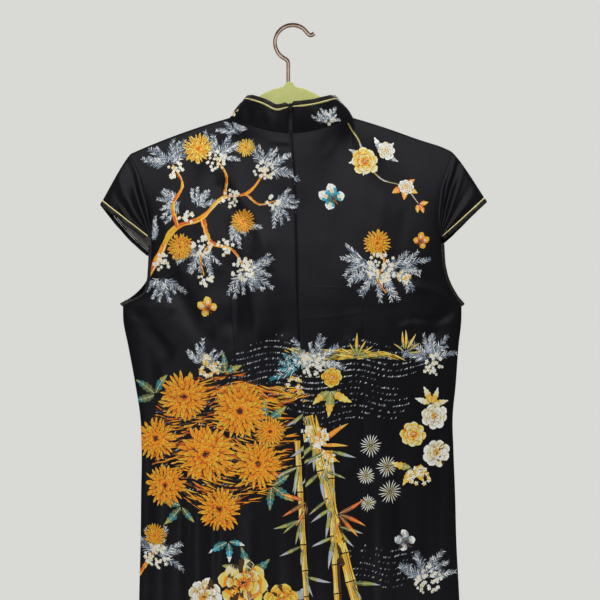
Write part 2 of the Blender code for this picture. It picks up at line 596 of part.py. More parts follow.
def hook_path():
    """The hook's centre line: a stem, an elbow, most of a circle, and a tip that curls back up."""
    half = HOOK_WIDTH / 2
    centre = np.array((LOOP["x"], half - LOOP["radius"]))
    angle = np.radians(np.linspace(LOOP["from"], LOOP["to"], 22))
    loop = centre + LOOP["radius"] * np.stack((np.cos(angle), np.sin(angle)), -1)
    boss_top = -(HANGER_TOP[0][1] - BOSS["rise"])
    stem = np.array(((STEM_X, boss_top + SEAM), (STEM_X, boss_top + 12)))
    elbow_low, elbow = (STEM_X, loop[0][1] - 7.5), (STEM_X, loop[0][1] - 2.4)
    bend = bezier((elbow_low, elbow, loop[0]), np.linspace(0, 1, 6)[:-1])
    end = loop[-1]
    tip = bezier((end, end + (6.2, -6.8), end + (7.6, -11.2), end + (14.0, -5.6)), np.linspace(0, 1, 9)[1:])
    return np.concatenate((stem, bend, loop, tip))


def build_hook():
    path = hook_path()
    run = unit(np.gradient(path, axis=0))
    side = np.stack((-run[:, 1], run[:, 0]), -1)
    w, d, t = HOOK_WIDTH / 2, HOOK_DEEP / 2, HOOK_SHEET
    profile = ((-w, -d), (-w, d), (w, d), (w, -d), (w - t, -d), (w - t, d - t), (-w + t, d - t), (-w + t, -d))
    rings = np.array([
        [(c[0] + s[0] * u, v, c[1] + s[1] * u) for u, v in profile] for c, s in zip(path, side)
    ])
    swept("hanger_hook", rings, METAL, 0.25, 1.0)


def build():
    for ob in list(bpy.data.objects):
        bpy.data.objects.remove(ob, do_unlink=True)
    edges, by_zip = build_body()
    by_split = {}
    for hand in (-1, 1):
        build_sleeve(edges, hand)
        build_armhole_binding(edges, hand)
        by_split[hand] = build_collar(hand)
    build_zip(by_zip, by_split)
    build_hanger()
    build_hook()


build()
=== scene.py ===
# A black satin cheongsam on a flocked clothes hanger: cloth, trims, zip, hanger, print, light and camera.
# Lengths are millimetres until a mesh is made. A drop is measured straight down from the hook's hold,
# a hand is -1 for left and 1 for right, and a face is -1 for the back and 1 for the front.
import math

import bpy
import numpy as np
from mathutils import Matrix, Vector


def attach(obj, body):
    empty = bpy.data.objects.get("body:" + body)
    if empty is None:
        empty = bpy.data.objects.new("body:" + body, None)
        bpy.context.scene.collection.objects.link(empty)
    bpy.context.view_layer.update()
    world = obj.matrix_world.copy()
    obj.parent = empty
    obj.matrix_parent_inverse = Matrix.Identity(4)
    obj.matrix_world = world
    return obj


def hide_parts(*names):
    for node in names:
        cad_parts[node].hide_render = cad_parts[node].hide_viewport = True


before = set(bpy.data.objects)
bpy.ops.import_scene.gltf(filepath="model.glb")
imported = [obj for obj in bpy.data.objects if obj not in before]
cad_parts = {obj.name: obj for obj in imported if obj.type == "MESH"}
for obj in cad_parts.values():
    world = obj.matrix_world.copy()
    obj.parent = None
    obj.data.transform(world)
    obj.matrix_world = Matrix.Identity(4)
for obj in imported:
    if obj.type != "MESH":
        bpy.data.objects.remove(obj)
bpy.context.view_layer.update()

mm = 0.001
handName = {-1: "Left", 1: "Right"}
faceWord = {-1: "back", 1: "front"}


def ease(t):
    # 0 below 0, 1 above 1, and 3t² - 2t³ between
    t = np.clip(t, 0.0, 1.0)
    return t * t * (3 - 2 * t)


def unit(v):
    # the same directions, each with a length of 1
    return v / np.maximum(np.linalg.norm(v, axis=-1, keepdims=True), 1e-12)


def runLength(points):
    # how far each point of a path lies from its first one, along it
    return np.concatenate(([0], np.linalg.norm(np.diff(points, axis=0), axis=-1).cumsum()))


def along(rows, column, at):
    # one column of a table at any drop: a cubic between its rows that keeps their mean slopes
    x, y = np.array(rows["drop"], float), np.array(rows[column], float)
    slope = np.gradient(y, x)
    at = np.clip(np.asarray(at, float), x[0], x[-1])
    k = np.clip(np.searchsorted(x, at, side="right") - 1, 0, len(x) - 2)
    span = x[k + 1] - x[k]
    t = (at - x[k]) / span
    return (y[k] * (1 + 2 * t) * (1 - t) ** 2 + slope[k] * span * t * (1 - t) ** 2
            + y[k + 1] * t * t * (3 - 2 * t) + slope[k + 1] * span * t * t * (t - 1))


def linear(r, g, b):
    # a screen colour in 0..255 as the light values a shader works with
    c = np.array((r, g, b)) / 255
    c = np.where(c < 0.04045, c / 12.92, ((c + 0.055) / 1.055) ** 2.4)
    return (*[float(v) for v in c], 1.0)


class Wire:
    # a socket that can be used in sums; every operator adds the Math node that works it out
    def __init__(self, paint, socket):
        self.paint, self.socket = paint, socket

    def sum(self, operation, a, b):
        # a Math node on two sockets or numbers
        return self.paint.node("ShaderNodeMath", {"operation": operation}, {0: a, 1: b})

    def __add__(self, other):
        return self.sum("ADD", self, other)

    def __sub__(self, other):
        return self.sum("SUBTRACT", self, other)

    def __rsub__(self, other):
        return self.sum("SUBTRACT", other, self)

    def __mul__(self, other):
        return self.sum("MULTIPLY", self, other)

    __radd__, __rmul__ = __add__, __mul__

    def size(self):
        # the value without its sign
        return self.sum("ABSOLUTE", self, 0.0)

    def band(self, width):
        # 1 on the line where the value is 0, fading to 0 at width on either side
        return self.paint.node("ShaderNodeMapRange", {"interpolation_type": "SMOOTHSTEP"},
                               {"Value": self.size(), "From Min": 0.0, "From Max": width,
                                "To Min": 1.0, "To Max": 0.0})


class Paint:
    # one material: node() adds any node, feed() sets or links the shader's sockets
    def __init__(self, name, **sockets):
        self.material = bpy.data.materials.new(name)
        self.material.use_nodes = True
        self.tree = self.material.node_tree
        self.shader = self.tree.nodes["Principled BSDF"]
        self.feed(**sockets)

    def join(self, value, socket):
        # a wire is linked to the socket, and anything else is set on it
        if isinstance(value, Wire):
            self.tree.links.new(value.socket, socket)
        else:
            socket.default_value = value

    def node(self, kind, settings=None, sockets=None, out=0):
        # any node: its settings first, then the values or wires of its sockets by name or number
        made = self.tree.nodes.new(kind)
        for key, value in (settings or {}).items():
            setattr(made, key, value)
        for key, value in (sockets or {}).items():
            self.join(value, made.inputs[key])
        return Wire(self, made.outputs[out])

    def feed(self, **sockets):
        # the shader's sockets by their names without spaces, small or capital
        named = {i.name.replace(" ", "").lower(): i for i in self.shader.inputs}
        for key, value in sockets.items():
            self.join(value, named[key.lower()])

    def noise(self, coords, scale, stretch=(1, 1, 1), detail=3.0):
        # noise at scale * stretch cells a metre, so that a small stretch draws it out along that axis
        place = self.node("ShaderNodeVectorMath", {"operation": "MULTIPLY"}, {0: coords, 1: stretch})
        return self.node("ShaderNodeTexNoise", None,
                         {"Vector": place, "Scale": scale, "Detail": detail, "Roughness": 0.55})

    def mix(self, share, a, b):
        # colour a turning to colour b as the share goes from 0 to 1
        return self.node("ShaderNodeMix", {"data_type": "RGBA"}, {0: share, 6: a, 7: b}, out=2)

    def relief(self, height, depth, strength):
        # a bump whose height of 1 stands depth metres high
        return self.node("ShaderNodeBump", None,
                         {"Height": height, "Distance": depth, "Strength": strength})

    def uv(self):
        # metres along the cloth
        return self.node("ShaderNodeUVMap", {"uv_map": "cloth"})

    def place(self):
        # Object coordinates
        return self.node("ShaderNodeTexCoord", out=3)

    def held(self, name):
        # a value that the mesh holds at its points
        return self.node("ShaderNodeAttribute", {"attribute_name": name}, out=2)


def gridQuads(rows, cols, start=0, loop=False):
    # quads of a grid whose points run row by row; loop joins the last column to the first
    i, j = np.meshgrid(np.arange(rows - 1), np.arange(cols if loop else cols - 1), indexing="ij")
    k = (j + 1) % cols
    return start + np.stack((i * cols + j, i * cols + k, (i + 1) * cols + k, (i + 1) * cols + j),
                            -1).reshape(-1, 4)


def newPiece(name, points, quads, paints, which=None, caps=(), uv=None, held=None, closed=True):
    # points in mm; which gives each quad's paint; uv is one pair a point; caps are extra flat faces.
    # A closed piece is turned round if the volume that its faces enclose comes out negative
    a, b, c, d = np.moveaxis(points[quads], 1, 0)
    volume = np.sum(a * (np.cross(b - a, c - a) + np.cross(c - a, d - a)))
    if closed and volume < 0:
        quads, caps = quads[:, ::-1], [cap[::-1] for cap in caps]
    mesh = bpy.data.meshes.new(name)
    mesh.from_pydata((points * mm).tolist(), [], quads.tolist() + [list(map(int, c)) for c in caps])
    for paint in paints:
        mesh.materials.append(paint.material)
    if which is not None:
        mesh.polygons.foreach_set("material_index", np.concatenate((which, [0] * len(caps))).astype(int))
    if uv is not None:
        layer = mesh.uv_layers.new(name="cloth")
        index = np.zeros(len(mesh.loops), int)
        mesh.loops.foreach_get("vertex_index", index)
        layer.data.foreach_set("uv", (uv[index] * mm).ravel())
    for key, value in (held or {}).items():
        mesh.attributes.new(key, "FLOAT", "POINT").data.foreach_set("value", value.ravel())
    mesh.shade_smooth()
    mesh.set_sharp_from_angle(angle=math.radians(50))
    ob = bpy.data.objects.new(name, mesh)
    bpy.context.scene.collection.objects.link(ob)
    return ob


def clothArc(points):
    # how far each grid point lies along the cloth from the first column and the first row
    u = np.linalg.norm(np.diff(points, axis=1), axis=-1).cumsum(1)
    v = np.linalg.norm(np.diff(points, axis=0), axis=-1).cumsum(0)
    return np.stack((np.pad(u, ((0, 0), (1, 0))), np.pad(v, ((1, 0), (0, 0)))), -1)


def newCloth(name, points, inward, thick, paints, held=None):
    # a wall of cloth: the outer grid, the same grid moved in by its thickness, and a rim all round
    rows, cols = points.shape[:2]
    flat = points.reshape(-1, 3)
    inner = (points + inward * thick).reshape(-1, 3)
    outerQuads = gridQuads(rows, cols)
    innerQuads = gridQuads(rows, cols, rows * cols)[:, ::-1]
    index = np.arange(rows * cols).reshape(rows, cols)
    ring = np.concatenate((index[0, :-1], index[:-1, -1], index[-1, :0:-1], index[:0:-1, 0]))
    after = np.roll(ring, -1)
    rim = np.stack((after, ring, ring + rows * cols, after + rows * cols), -1)
    which = np.repeat((0, 1, 0), (len(outerQuads), len(innerQuads), len(rim)))
    arc = clothArc(points).reshape(-1, 2)
    twice = {key: np.tile(value.ravel(), 2) for key, value in (held or {}).items()}
    return newPiece(name, np.concatenate((flat, inner)), np.concatenate((outerQuads, innerQuads, rim)),
                    paints, which, uv=np.tile(arc, (2, 1)), held=twice)


def inwardOf(points, towards):
    # unit normals of a grid of points, on the side where the point "towards" lies
    n = unit(np.cross(np.gradient(points, axis=0), np.gradient(points, axis=1)))
    return n * (1 if np.median(np.sum(n * (np.asarray(towards) - points), -1)) > 0 else -1)


def sweep(name, rings, paints, which=None):
    # a closed body through rings of points, one a station, with a cap at each end
    rows, cols = rings.shape[:2]
    caps = [np.arange(cols)[::-1], np.arange(cols) + (rows - 1) * cols]
    turn = np.linalg.norm(np.diff(rings, axis=1), axis=-1).cumsum(1)
    uv = np.stack((np.pad(turn, ((0, 0), (1, 0))),
                   np.repeat(runLength(rings.mean(1))[:, None], cols, 1)), -1).reshape(-1, 2)
    return newPiece(name, rings.reshape(-1, 3), gridQuads(rows, cols, loop=True), paints, which, caps, uv)


def section(width, thick, count, power):
    # a rounded bar's outline: cos and sin drawn towards a box by a power below 1
    a = np.linspace(0, 2 * math.pi, count, endpoint=False) + math.pi / count
    c, s = np.cos(a), np.sin(a)
    return np.stack((np.sign(c) * np.abs(c) ** power * width / 2,
                     np.sign(s) * np.abs(s) ** power * thick / 2), -1)


def finishPiece(ob, body, node=None):
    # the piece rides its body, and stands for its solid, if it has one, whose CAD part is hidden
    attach(ob, body)
    if node:
        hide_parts(node)
    return ob


cloth = {
    "black": linear(8, 8, 11), "sheenBlack": linear(16, 15, 20), "lineBlack": (0.002, 0.002, 0.003, 1),
    "rough": 0.36, "sheen": 0.02, "gloss": 0.26, "glossTint": (0.93, 0.91, 1.0, 1.0), "depth": 0.00025,
    "floats": 2600.0, "cross": 1560.0, "slub": 420.0, "cloud": 38.0,  # cells a metre of each pattern
    "fineCrease": 19.0, "longCrease": 9.0,
    "seamHalf": 1.2, "dartHalf": 1.3,  # mm on each side that a stitched line draws in
}
weaves = {  # two colours, roughness, threads a metre, depth in metres, sheen and gloss
    "satinWrongSide": (linear(150, 141, 131), linear(126, 118, 110), 0.75, 1800, 0.0002, 0.3, 0.5),
    "blackFacing": (linear(11, 11, 13), linear(21, 21, 24), 0.55, 1800, 0.0002, 0.02, 0.12),
    "goldPiping": (linear(202, 184, 108), linear(232, 221, 162), 0.42, 900, 0.0003, 0.2, 0.5),
    "zipTape": (linear(20, 20, 22), linear(32, 32, 35), 0.7, 1100, 0.0003, 0.3, 0.5),
}
bias = {
    "dark": linear(8, 8, 9), "light": linear(66, 63, 62), "rough": 0.42, "sheen": 0.04, "gloss": 0.3,
    "fleck": 620.0, "tone": 90.0, "depth": 0.00025,
}


def satinPaint(name):
    # satin: long vertical floats over a fine cross weave, soft clouds in the gloss, and the stitched
    # lines, which are where the held values seam and dart pass through 0, sunk and with painted shade
    paint = Paint(name, sheenWeight=cloth["sheen"], sheenRoughness=0.45, specularIorLevel=cloth["gloss"],
                  specularTint=cloth["glossTint"])
    uv = paint.uv()
    floats = paint.noise(uv, cloth["floats"], (1.0, 0.08, 1.0), 1.0)
    cross = paint.noise(uv, cloth["cross"], (0.12, 1.0, 1.0), 1.0)
    cloud = paint.noise(uv, cloth["cloud"], (1.0, 0.35, 1.0), 4.0)
    slub = paint.noise(uv, cloth["slub"], (1.0, 0.03, 1.0), 2.0)
    seam = paint.held("seam").band(cloth["seamHalf"])
    dart = paint.held("dart").band(cloth["dartHalf"])
    fine = (paint.noise(uv, cloth["fineCrease"], (1.0, 0.2, 1.0), 1.5) - 0.5).band(0.035)
    long = (paint.noise(uv, cloth["longCrease"], (0.2, 1.0, 1.0), 1.0) - 0.5).band(0.014)
    here = (paint.noise(uv, cloth["longCrease"], (0.8, 1.1, 1.0), 2.0) * 3.0 - 1.2).size()
    creased = (fine * 0.6 + long) * here
    height = floats * 0.5 + cross * 0.3 + slub * 0.5 - seam * 2.0 - dart * 2.4 + creased * 1.2 + cloud * 2.4
    # painted sheen: the random clouds lighten the black towards a sheen grey
    shade = paint.mix(cloud * 0.7 + slub * 0.3, cloth["black"], cloth["sheenBlack"])
    dull = cloud * 0.12 + floats * 0.05 + seam * 0.45 + dart * 0.2
    # painted shade: the colour turns near black along the seams and darts, as shade in their grooves
    paint.feed(baseColor=paint.mix(seam * 0.5 + dart * 0.6, shade, cloth["lineBlack"]),
               roughness=dull + (cloth["rough"] - 0.06), normal=paint.relief(height, cloth["depth"], 0.5))
    return paint


def wovenPaint(name):
    # a plain weave seen on a trim or the wrong side: two crossed thread noises in uneven colour
    base, lit, rough, threads, depth, sheen, gloss = weaves[name]
    paint = Paint(name, sheenWeight=sheen, sheenRoughness=0.5, specularIorLevel=gloss)
    uv = paint.uv()
    warp = paint.noise(uv, threads, (1.0, 0.12, 1.0), 1.0)
    weft = paint.noise(uv, threads, (0.12, 1.0, 1.0), 1.0)
    tone = paint.noise(uv, 60.0, detail=3.0)
    paint.feed(baseColor=paint.mix(tone * 0.6 + warp * 0.2 + weft * 0.2, base, lit),
               roughness=warp * 0.1 + (rough - 0.05), normal=paint.relief(warp + weft, depth, 0.6))
    return paint


def biasPaint(name):
    # satin cut on the bias: its floats catch the light in short broken flecks
    paint = Paint(name, sheenWeight=bias["sheen"], sheenRoughness=0.5, specularIorLevel=bias["gloss"])
    uv = paint.uv()
    fleck = paint.noise(uv, bias["fleck"], (1.0, 0.7, 1.0), 2.0) * 3.6 - 1.5
    tone = paint.noise(uv, bias["tone"], detail=2.0)
    paint.feed(baseColor=paint.mix(fleck * (tone + 0.4), bias["dark"], bias["light"]),
               roughness=bias["rough"] - fleck * 0.08, normal=paint.relief(fleck, bias["depth"], 0.5))
    return paint


satin = satinPaint("blackSatin")
wrongSide = wovenPaint("satinWrongSide")
lining = wovenPaint("blackFacing")
biasSatin = biasPaint("blackBiasSatin")
goldCord = wovenPaint("goldPiping")
tapeWeave = wovenPaint("zipTape")


dress = {
    "wall": 1.1, "seam": 0.3, "hem": 1174.0, "underarm": 381.0, "armRise": 208.5, "edgeClear": 0.75,
    "slitFrom": 950.0, "slitOpen": 8.0, "sideRound": 2.2, "sideFall": 0.75,
    "shoulderSlope": 0.28, "shoulderBend": 0.00062, "shoulderRoll": 5.5, "rollFade": 10.0,
    "topBlend": 110.0, "yokeEdge": 46.0, "yokeHalf": 150.0, "liftAt": 205.0, "liftReach": 24.0, "lift": 3.2,
    "foldsFrom": 8.0,  # below the top edge, where creases are at their full height
    "seamDip": 0.8, "seamDipReach": 1.7, "ripple": 0.4, "skirt": 900.0,
    "besideSeam": (0.8, 1.6, 2.5, 3.6),  # where the first columns beside the back seam stand
}
noLine = 50.0  # a held value as far from a stitched line as this shows none
neck = {
    "centre": -2.0, "half": 84.0, "drop": 124.0, "frontFrom": 160.0, "frontOver": 200.0,
    "dip": {-1: 29.0, 1: 66.0}, "depth": {-1: 34.0, 1: 30.0},
    "turns": (3.4, 90.1, 3.1),  # degrees round the neck where columns stand: from, to, step
}
sides = {
    "drop": (381, 400, 434, 486, 535, 572, 640, 700, 782, 900, 1040, 1174),
    "left": (-231.5, -231.0, -224.5, -214.8, -207.5, -206.1, -206.8, -207.5, -209.5, -211, -209, -205),
    "right": (229.5, 229.3, 225.6, 221.8, 217.4, 218.4, 221.0, 222.5, 226.6, 229, 226, 221),
    "back": (27.3, 26.6, 25, 22, 20, 20, 23, 26, 27, 26, 25, 25),
    "front": (34, 34, 32, 27, 24, 23, 26, 29, 30, 30, 29, 28),
}
centreBack = {
    "drop": (144, 165, 195, 248, 316, 400, 458, 581, 659, 1174),
    "x": (-2.7, -0.2, 2.0, 3.6, 5.4, 7.8, 11.4, 15.0, 18.4, 20.0),
}
armhole = {
    "drop": (172.5, 190, 212, 240, 268, 297, 328, 348, 364, 381),
    "left": (-219.5, -210.5, -202.5, -194.5, -190.0, -189.5, -192.0, -197.0, -209.5, -231.5),
    "leftBack": (-219.5, -210.5, -202.5, -194.5, -190.0, -189.5, -191.0, -194.0, -201.0, -231.5),
    "right": (214.5, 209.0, 201.5, 197.0, 195.5, 199.0, 202.0, 208.5, 217.5, 229.5),
    "gap": (5.5, 7, 9, 11, 12, 12, 10, 7, 4.5, 1.7),
    "back": (28, 28, 28, 28, 28, 28, 28, 28, 27.8, 27.3),
    "front": (22, 22, 23, 25, 28, 30, 32, 33, 34, 34),
}
armSides = {-1: ("leftBack", "right"), 1: ("left", "right")}
lowRise = dress["hem"] - dress["underarm"]
topRise = lowRise + dress["armRise"]
endRise = topRise + dress["shoulderRoll"] * math.pi / 2

creaseColumns = ("face", "x0", "drop0", "x1", "drop1", "bow", "reach", "height")
creases = (
    # the long ones, as the solids have them
    (-1, -168, 345, -118, 419, 0, 13, -4.5),
    (-1, -95, 226, -80, 400, 0, 17, -4.0),
    (-1, -42, 300, -44, 415, 0, 20, 3.5),
    (-1, -214, 388, -172, 440, 0, 11, -3.5),
    (-1, 212, 384, 176, 436, 0, 11, -3.5),
    (-1, -166, 600, -168, 1174, 0, 14, -4.5),
    (-1, -78, 640, -76, 1174, 0, 19, -5.0),
    (-1, -118, 660, -122, 1174, 0, 20, 4.0),
    (-1, 106, 620, 100, 1174, 0, 18, -4.5),
    (-1, 60, 700, 56, 1174, 0, 22, 4.0),
    (-1, 178, 560, 184, 1174, 0, 15, -4.5),
    (1, -90, 470, -84, 1174, 0, 22, -4.5),
    (1, 92, 470, 96, 1174, 0, 22, -4.5),
    (1, -160, 560, -166, 1174, 0, 18, 4.0),
    (1, 166, 560, 172, 1174, 0, 18, 4.0),
    (1, 0, 640, 10, 1174, 0, 26, 4.0),
    (1, -190, 372, -112, 402, 0, 14, -4.0),
    (1, 190, 372, 112, 402, 0, 14, -4.0),
    # pulls at the underarms
    (-1, -215, 376, -150, 352, 6, 6, 1.6),
    (-1, -218, 392, -160, 392, -7, 5, -1.3),
    (-1, -214, 402, -168, 424, 5, 5, 1.2),
    (-1, 216, 374, 158, 356, -6, 6, 1.5),
    (-1, 216, 390, 164, 398, 6, 5, -1.3),
    (-1, 214, 402, 172, 428, -5, 5, 1.2),
    (-1, 146, 409, 180, 406, 4, 4, 1.1),
    # left back: the fold that starts under the neck and swings down beside the dart
    (-1, -96, 222, -60, 268, -4, 8, -2.2),
    (-1, -66, 262, -58, 330, 6, 10, -1.5),
    (-1, -40, 322, -14, 412, 3, 10, -2.0),
    (-1, -79, 318, -80, 430, 3, 7, -1.2),
    (-1, -74, 224, -42, 272, -4, 5, 0.9),
    (-1, -48, 276, -34, 330, 5, 6, 1.0),
    (-1, -66, 336, -44, 420, 4, 7, 1.2),
    (-1, -112, 262, -84, 318, -3, 6, 0.8),
    (-1, -178, 262, -150, 330, 4, 6, 0.7),
    (-1, -140, 250, -100, 330, 6, 7, 0.8),
    (-1, -150, 330, -120, 400, 6, 5, 1.0),
    (-1, -131, 350, -108, 408, -4, 5, -1.0),
    (-1, -118, 190, -84, 214, 3, 5, 0.6),
    (-1, -60, 430, -48, 470, -3, 7, 0.5),
    (-1, -18, 420, -28, 548, 4, 9, -0.7),
    (-1, -196, 440, -186, 560, 6, 8, -1.2),
    (-1, -176, 470, -172, 600, -5, 8, 1.2),
    # under the collar, where the zip holds the cloth up
    (-1, -34, 149, -8, 151, 1.5, 2.4, 1.3),
    (-1, -30, 156, -8, 157, 1.5, 2.4, -1.2),
    (-1, -26, 163, -7, 165, -1, 2.4, 1.1),
    (-1, -22, 171, -6, 173, 1, 2.6, -0.9),
    (-1, 4, 152, 32, 148, 2, 2.6, 1.1),
    (-1, 6, 160, 24, 158, 1, 2.6, 0.9),
    (-1, 28, 151, 48, 146, 1, 2.6, -1.0),
    (-1, -66, 140, -40, 176, -4, 5, 0.4),
    (-1, 62, 140, 46, 178, 4, 5, 0.4),
    # right back
    (-1, 120, 230, 96, 330, 6, 10, 0.6),
    (-1, 150, 260, 136, 380, -5, 9, -0.6),
    (-1, 40, 300, 36, 450, 4, 12, 0.6),
    (-1, 92, 420, 94, 560, 2, 7, -1.1),
    (-1, 74, 430, 72, 600, -3, 9, 1.0),
    (-1, 190, 440, 186, 560, -4, 9, 1.2),
    (-1, 200, 470, 204, 600, 3, 7, -1.1),
    # waist and hip
    (-1, -205, 500, -150, 512, 4, 6, -1.1),
    (-1, -204, 522, -166, 538, 4, 5, 1.0),
    (-1, -206, 548, -160, 552, -4, 6, -0.9),
    (-1, -136, 600, -140, 900, 4, 8, -1.8),
    (-1, -186, 600, -190, 900, 3, 8, 1.8),
    (-1, -96, 640, -100, 940, 3, 9, 1.4),
    (-1, 128, 610, 124, 900, 4, 10, 1.6),
    (-1, 152, 600, 158, 1000, -3, 9, -1.6),
    (-1, 200, 590, 206, 1000, 3, 8, 1.6),
    (-1, 30, 640, 34, 1000, -3, 12, -1.4),
    (-1, -40, 700, -36, 1100, 3, 11, -1.4),
    (-1, -197, 470, -199, 1174, 0, 8, -3.6),
    (-1, -173, 520, -176, 1174, 0, 8, 2.8),
    (-1, -151, 500, -154, 1174, 0, 8, -3.6),
    (-1, -129, 530, -131, 1174, 0, 8, 2.6),
    (-1, -107, 510, -109, 1174, 0, 8, -3.2),
    (-1, -56, 600, -58, 1174, 0, 9, 2.2),
    (-1, -20, 620, -22, 1174, 0, 9, -2.6),
    (-1, 64, 590, 62, 1174, 0, 9, -2.6),
    (-1, 118, 540, 116, 1174, 0, 8, 2.6),
    (-1, 141, 500, 141, 1174, 0, 8, -3.2),
    (-1, 168, 520, 170, 1174, 0, 8, 2.8),
    (-1, 198, 470, 203, 1174, 0, 8, -3.6),
    (1, -40, 180, -20, 320, 6, 14, 1.2),
    (1, 50, 200, 30, 340, -6, 14, 1.2),
    (1, -120, 500, -118, 900, 4, 12, 1.5),
    (1, 40, 560, 46, 1000, 4, 12, -1.5),
    (1, -44, 600, -40, 1000, -4, 12, -1.5),
    (1, 124, 520, 128, 980, 4, 12, -1.4),
)
darts = (  # face, then x at three drops: top, widest, foot
    (-1, (-84.6, 352), (-71.5, 512), (-71.5, 634)),
    (-1, (94.2, 352), (96.2, 512), (94.2, 700)),
    (1, (-98.0, 436), (-92.0, 530), (-90.0, 650)),
    (1, (98.0, 436), (94.0, 530), (92.0, 650)),
)


def middleLine(face, drop):
    # the back's centre seam from its rows; the front eases from the neck's middle to the body's own
    if face < 0:
        return along(centreBack, "x", drop)
    centre = (along(sides, "left", drop) + along(sides, "right", drop)) / 2
    return neck["centre"] + (centre - neck["centre"]) * ease((drop - neck["frontFrom"]) / neck["frontOver"])


def shoulderDrop(out):
    # drop + slope * out + bend * out², with out measured from the neck point
    return neck["drop"] + dress["shoulderSlope"] * out + dress["shoulderBend"] * out * out


def creaseHeight(face, x, drop):
    # each crease is height * exp(-(distance / reach)²) about its own line, bowed sideways by
    # bow * 4t(1 - t). It dies away past both ends, and one that runs down the skirt grows slowly
    out = np.zeros_like(x)
    for row in creases:
        c = dict(zip(creaseColumns, row))
        if c["face"] != face:
            continue
        run = np.array((c["x1"] - c["x0"], c["drop1"] - c["drop0"]), float)
        long = np.hypot(*run)
        t = ((x - c["x0"]) * run[0] + (drop - c["drop0"]) * run[1]) / long**2
        side = ((x - c["x0"]) * run[1] - (drop - c["drop0"]) * run[0]) / long
        held = np.clip(t, 0, 1)
        side = side - c["bow"] * 4 * held * (1 - held)
        away = np.hypot(side, (t - held) * long)
        grown = ease(t * 4) if c["drop1"] >= dress["skirt"] else 1.0
        out += c["height"] * grown * np.exp(-((away / c["reach"]) ** 2))
    return out


def ripple(face, x, drop):
    # the satin's own unevenness: a sum of slow sine waves with fixed, unrelated directions
    rng = np.random.default_rng(11 + face)
    out = np.zeros_like(x)
    for _ in range(14):
        wave = rng.uniform(26, 95)
        heading = rng.normal(0, 0.55)
        phase = rng.uniform(0, 2 * math.pi)
        out += wave / 260 * np.sin(2 * math.pi / wave * (x * math.cos(heading)
                                                         + drop * math.sin(heading)) + phase)
    return out * dress["ripple"]


def lens(x, left, right):
    # how full the body is at x, from 1 in the middle to 0 at the side seams: (1 - u^round)^fall, and
    # 1 - u^8, which calms the folds at the seams
    full = np.clip(np.abs(2 * x - left - right) / (right - left), 0, 1)
    return (1 - full ** dress["sideRound"]) ** dress["sideFall"], 1 - full**8


def topEdge(face, across):
    # the finished top of each column: its x, depth, drop, sine round the neck's ellipse, and roll
    middle = middleLine(face, neck["drop"])
    tip = np.where(across < 0, armhole["left"][0], armhole["right"][0])
    x = middle + np.abs(across) * (tip - middle)
    sine = np.clip((x - neck["centre"]) / neck["half"], -1, 1)
    cosine = np.sqrt(1 - sine**2)
    onNeck = np.abs(sine) < 1
    out = np.maximum(np.abs(x - neck["centre"]) - neck["half"], 0)
    depth = np.where(onNeck, neck["depth"][face] * cosine, 0.0)
    rise = dress["lift"] * np.exp(-(((x - dress["liftAt"]) / dress["liftReach"]) ** 2))
    drop = np.where(onNeck, neck["drop"] + neck["dip"][face] * cosine**2, shoulderDrop(out) - rise)
    roll = dress["shoulderRoll"] * np.clip(1 - depth / dress["rollFade"], 0, 1)
    return x, depth, drop, sine, roll


